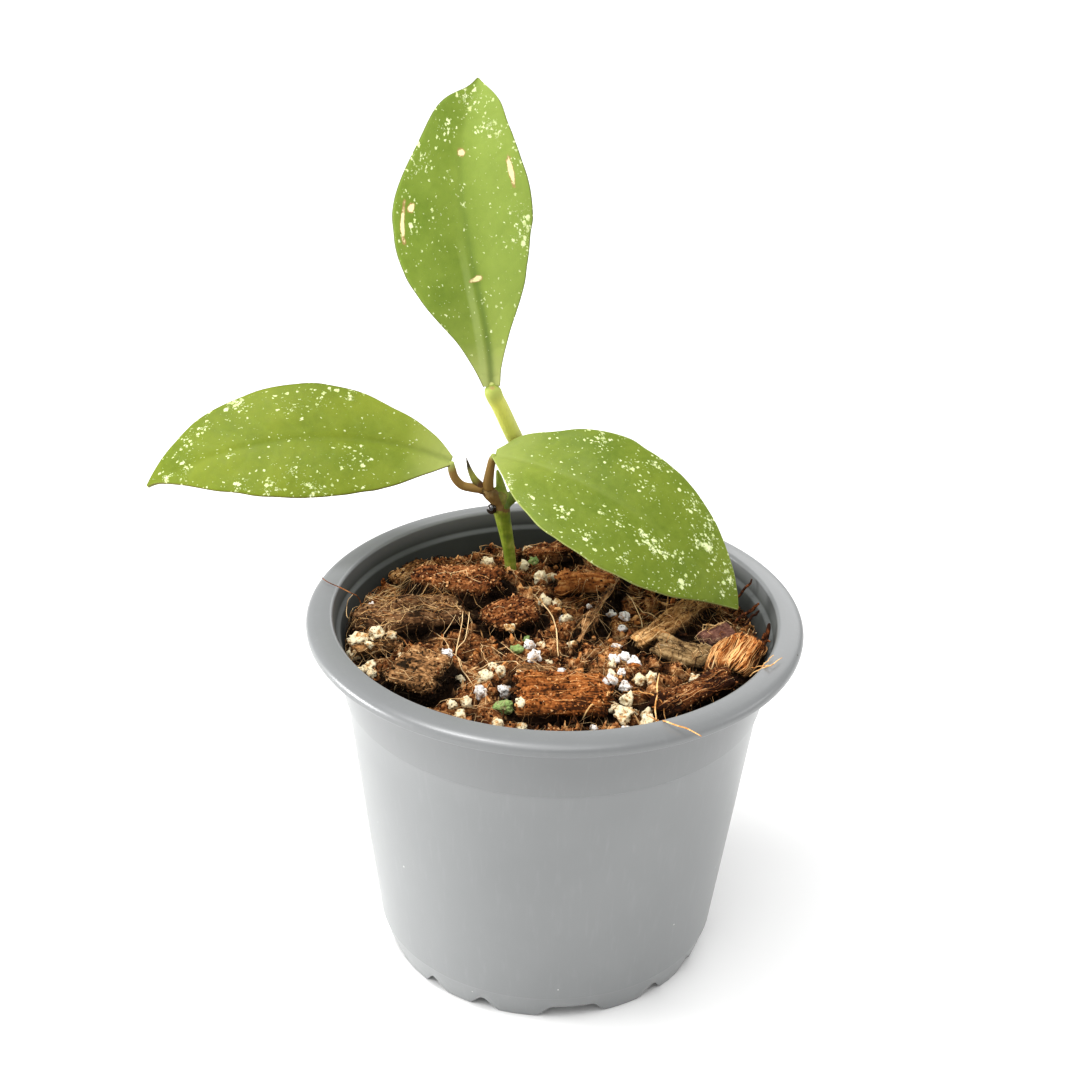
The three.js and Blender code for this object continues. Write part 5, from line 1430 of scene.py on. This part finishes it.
# The fibres that stand out one by one: a radius, a tint, a look and the stops. A stop is a plan position
# and a lift over the crust, or, where it is above the least height, a height of its own, as over the rim.
routes = {
    "redRim": (0.16, 0.42, "redHusk",
               ((-51.2, 10.7, 81), (-48.3, 7.1, 81.1), (-44.2, 4.1, 80.7), (-42.4, 5.7, 78.8),
                (-41.5, 6.5, 76.8), (-41.4, 5.3, 75.3))),
    "loop": (0.12, 1.0, "tanHusk",
             ((-43.5, 5.7, 79.3), (-44.2, 5.4, 77.3), (-44.4, 4.4, 75.3), (-43.4, 2.9, 74.6),
              (-41.6, 1.7, 74.8), (-38.9, -0.8, 75.3))),
    "wavy": (0.15, 1.15, "tanHusk",
             ((-19.8, 4.4, 0.2), (-19.5, 0.7, 1.6), (-20.3, -5.5, 0.8), (-20.4, -9.2, 0.5),
              (-19.5, -12.1, 0.9), (-18.6, -15, 0.5), (-16.9, -19.6, 0.9), (-15.6, -22.9, 0.1))),
    "wavyBeside": (0.14, 1.2, "tanHusk",
                   ((-18.5, 9.6, 0.2), (-18.1, 4.5, 1.8), (-18.2, -0.5, 2), (-18.8, -4.2, 1.1),
                    (-20.3, -6.1, 0.7), (-20.5, -8.6, 0.3))),
    "straight": (0.13, 0.95, "tanHusk",
                 ((-25.4, -0.3, 0.1), (-22.5, -5.7, 1), (-20.1, -10.3, 1), (-18.9, -13.3, 0.1))),
    "frontLeft": (0.13, 1.15, "tanHusk",
                  ((-16.3, -12.3, 0.1), (-13, -11.5, 0.9), (-8.8, -11.2, 0.6), (-6.9, -14.1, 0.9),
                   (-5.4, -18.1, 0.1))),
    "small": (0.12, 0.9, "tanHusk", ((-15.4, -4.4, 0.1), (-14.8, -8, 0.9), (-13.8, -10.9, 0.1))),
    "pale": (0.2, 1.2, "tanHusk",
             ((-6, 19.5, 0.1), (-3.3, 15.1, 1), (-1, 9.4, 1.5), (0.3, 2.5, 1.3), (0.8, -3.7, 1.0),
              (1.5, -10.9, 0.1))),
    "paleArc": (0.16, 1.15, "tanHusk",
                ((15.7, 21, 0.6), (17.2, 16.4, 1.2), (18.4, 10.6, 1.2), (18.5, 4.8, 0.7), (15.7, 3.7, 0.2))),
    "paleSide": (0.15, 1.05, "tanHusk", ((17.5, 15.8, 1.2), (20.3, 12.7, 0.9), (24.1, 10, 0.3))),
    "straw": (0.24, 0.95, "fanHusk", ((21.8, -13.5, 0.9), (20.9, -25.6, 1.6), (20.3, -35.5, 1.4))),
    "strawFront": (0.26, 1.0, "fanHusk", ((6, -32.3, 0.7), (11.1, -27, 1.3))),
    "orange": (0.17, 0.7, "fanHusk",
               ((13.9, -20.7, 0.2), (18, -23.8, 1.2), (21.7, -28.1, 1), (23.3, -33, 0.1))),
    "overRim": (0.22, 0.72, "fanHusk",
                ((18.5, -33, 75.5), (20.4, -38.9, 77.9), (21.8, -43.5, 80.7), (25.6, -46, 80.9),
                 (28.3, -48.3, 80.6))),
    "fanEdge": (0.24, 0.9, "tanHusk",
                ((38.4, 1.6, 0.6), (36.8, -4, 0.8), (33.6, -11.4, 1.1), (31.1, -18.5, 0.2))),
    "fanEdgeInner": (0.18, 0.95, "tanHusk",
                     ((37.4, 0.8, 0.3), (35.9, -4.6, 1.0), (32.7, -11.8, 0.9), (30.2, -17.5, 0.2))),
    "fanTop": (0.17, 1.05, "tanHusk",
               ((42.3, 7.9, 0.8), (40.7, 3.4, 1.2), (38.6, 0.2, 0.9), (36.7, -4.9, 0.6))),
    "rimRight": (0.17, 0.9, "fanHusk",
                 ((39.7, -21.1, 77.9), (41.2, -21.2, 79.4), (43.4, -21.7, 81.0), (46.1, -18.4, 81.0))),
    "rimRightInner": (0.14, 0.85, "fanHusk", ((41, -20.9, 78.9), (42.9, -20.1, 80.9), (44.8, -17.6, 80.9))),
    "rimRightLow": (0.13, 0.7, "fanHusk", ((40.1, -17.9, 77.9), (42.2, -20.4, 80.0), (43.9, -21.9, 81.0))),
    "twigTop": (0.42, 0.15, "redHusk", ((39.4, 13.6, 76), (40.6, 14.5, 77.9), (43, 16.3, 79.9))),
    "twigMiddle": (0.55, 0.2, "redHusk", ((38.8, 5, 75.6), (41.4, 6.9, 77.0), (44, 7.9, 78.6))),
    "twigLow": (0.42, 0.1, "redHusk", ((40.4, 2.6, 76), (42.4, 5, 77.2), (43.8, 5.8, 78))),
    "twigSide": (0.75, 0.12, "redHusk",
                 ((42.4, -9.8, 75.8), (43.7, -6.4, 77.2), (44.6, -4.2, 78.4), (45.2, -2.9, 79.8))),
    "twigSideFork": (0.5, 0.12, "redHusk", ((41.8, -11.5, 76), (43.2, -7.8, 77.6), (43.9, -5.4, 79))),
    "twigSideLeaf": (0.4, 0.2, "redHusk", ((43, -6.5, 77), (44, -7.3, 78.2), (44.5, -8.6, 78.9))),
}
route = {"steps": 44, "sides": 8, "thinned": 0.68, "soften": 13, "sway": 0.3, "leastHeight": 20}


# Each runs through its stops over a crust softened along it, sways by a slow noise, and thins to its ends.
def routedFibre(seed, radius, stops):
    steps, soften = route["steps"], route["soften"]
    line = throughPoints(stops, steps)
    ground = np.pad(crustHeight(line[:, 0], line[:, 1]), soften // 2, mode="edge")
    ground = np.convolve(ground, np.ones(soften) / soften, "valid")
    line[:, 2] = np.where(line[:, 2] < route["leastHeight"], line[:, 2] + ground + radius, line[:, 2])
    place = np.arange(steps)[:, None] / steps * 6 + seed * 9.1
    place = np.concatenate([place, 0 * place, 0 * place], 1)
    line[:, :2] += route["sway"] * np.stack([noise(place, 1), noise(place, 2)], 1)
    width = radius * (1 - 0.45 * np.abs(np.linspace(-1, 1, steps)) ** 4)
    return tubes([line], width, route["sides"])


singles = {}
for seed, (radius, tint, look, stops) in enumerate(routes.values()):
    shape = routedFibre(seed, radius * route["thinned"], stops)
    singles.setdefault(look, []).append((shape, np.full(len(shape[0]), tint)))
for look, parts in singles.items():
    points, quads, triangles = gather([shape for shape, _ in parts])
    fields = {"tint": np.concatenate([tint for _, tint in parts]), "local": points * mm}
    piece = newPiece("single" + look[0].upper() + look[1:], points, quads, triangles, fields=fields)
    finishPiece(piece, "coconut_husk", huskMaterial("single" + look, look, (700, 700, 700), 0.08))
print("fibres done")


# Depth of each point of the soil below the highest crust within about 1.6 mm, softened, for the painted shade
# in the gaps
def markDepths(cells=4):
    around = crustTop.copy()
    for blend in (np.max, np.mean):
        for axis in (0, 1):
            around = blend([np.roll(around, k, axis) for k in range(-cells, cells + 1)], axis=0)
    crustTop[:] = around
    for piece in soilPieces:
        points = pointsOf(piece)
        addField(piece.data, "depth", crustHeight(points[:, 0], points[:, 1]) - points[:, 2])


markDepths()


# Camera at the photograph's angle, soft studio light and a plain pale floor
view = {
    "place": (-3.751, -395.439, 304.109), "elevation": 27.6725, "roll": 1.705, "focal": 2151.36,
    "framePixels": 1079, "sensor": 36, "nearest": 0.01,
}


# The camera looks level along y, tipped down by the elevation and turned about its own axis by the roll.
def placeCamera():
    elevation, roll = math.radians(view["elevation"]), math.radians(view["roll"])
    ahead = Vector((0, math.cos(elevation), -math.sin(elevation)))
    right = Vector((1, 0, 0))
    up = right.cross(ahead)
    turnedRight = math.cos(roll) * right + math.sin(roll) * up
    turnedUp = math.cos(roll) * up - math.sin(roll) * right
    camera = bpy.data.cameras.new("camera")
    camera.sensor_width = view["sensor"]
    camera.lens = camera.sensor_width * view["focal"] / view["framePixels"]
    camera.clip_start = view["nearest"]
    holder = bpy.data.objects.new("camera", camera)
    turned = Matrix((turnedRight, turnedUp, -ahead)).transposed().to_4x4()
    holder.matrix_world = Matrix.Translation(Vector(view["place"]) * mm) @ turned
    bpy.context.scene.collection.objects.link(holder)
    bpy.context.scene.camera = holder


# Places and sizes in metres, power in watts, and the floor's reach in millimetres
studio = {
    "world": 0.75, "aim": (0, 0, 0.07), "floorReach": 4000.0, "floorTone": (0.97, 0.97, 0.965, 1),
    "lights": {
        "key": {"place": (-0.38, -0.05, 1.1), "size": 0.28, "power": 7},
        "soft": {"place": (-0.15, -0.42, 1.08), "size": 1.1, "power": 7.5},
        "left": {"place": (-1.1, -0.02, 0.15), "size": 0.6, "power": 18},
        "right": {"place": (1.1, 0.1, 0.5), "size": 0.5, "power": 2},
        "back": {"place": (0.45, 1.2, 0.72), "size": 0.9, "power": 4},
    },
}


# Round lights that face the aim, and an even white world around them
def placeLights():
    for name, light in studio["lights"].items():
        lamp = bpy.data.lights.new(name, "AREA")
        lamp.shape = "DISK"
        lamp.size = light["size"]
        lamp.energy = light["power"]
        holder = bpy.data.objects.new(name, lamp)
        place = Vector(light["place"])
        toPot = Vector(studio["aim"]) - place
        holder.matrix_world = Matrix.Translation(place) @ toPot.to_track_quat("-Z", "Y").to_matrix().to_4x4()
        bpy.context.scene.collection.objects.link(holder)
    world = bpy.data.worlds.new("studio")
    world.use_nodes = True
    background = world.node_tree.nodes["Background"]
    background.inputs[0].default_value = (1, 1, 1, 1)
    background.inputs[1].default_value = studio["world"]
    bpy.context.scene.world = world
    bpy.context.scene.view_settings.view_transform = "Standard"


# The floor is one square in millimetres, far wider than the view
def placeFloor():
    reach = studio["floorReach"]
    corners = np.array([[-reach, -reach, 0], [reach, -reach, 0], [reach, reach, 0], [-reach, reach, 0]])
    floor = newPiece("floor", corners, [[0, 1, 2, 3]])
    paper = startMaterial("floorPaper", Roughness=0.85, Base_Color=studio["floorTone"])[0]
    floor.data.materials.append(paper)


placeCamera()
placeLights()
placeFloor()
print("camera, lights and floor done")
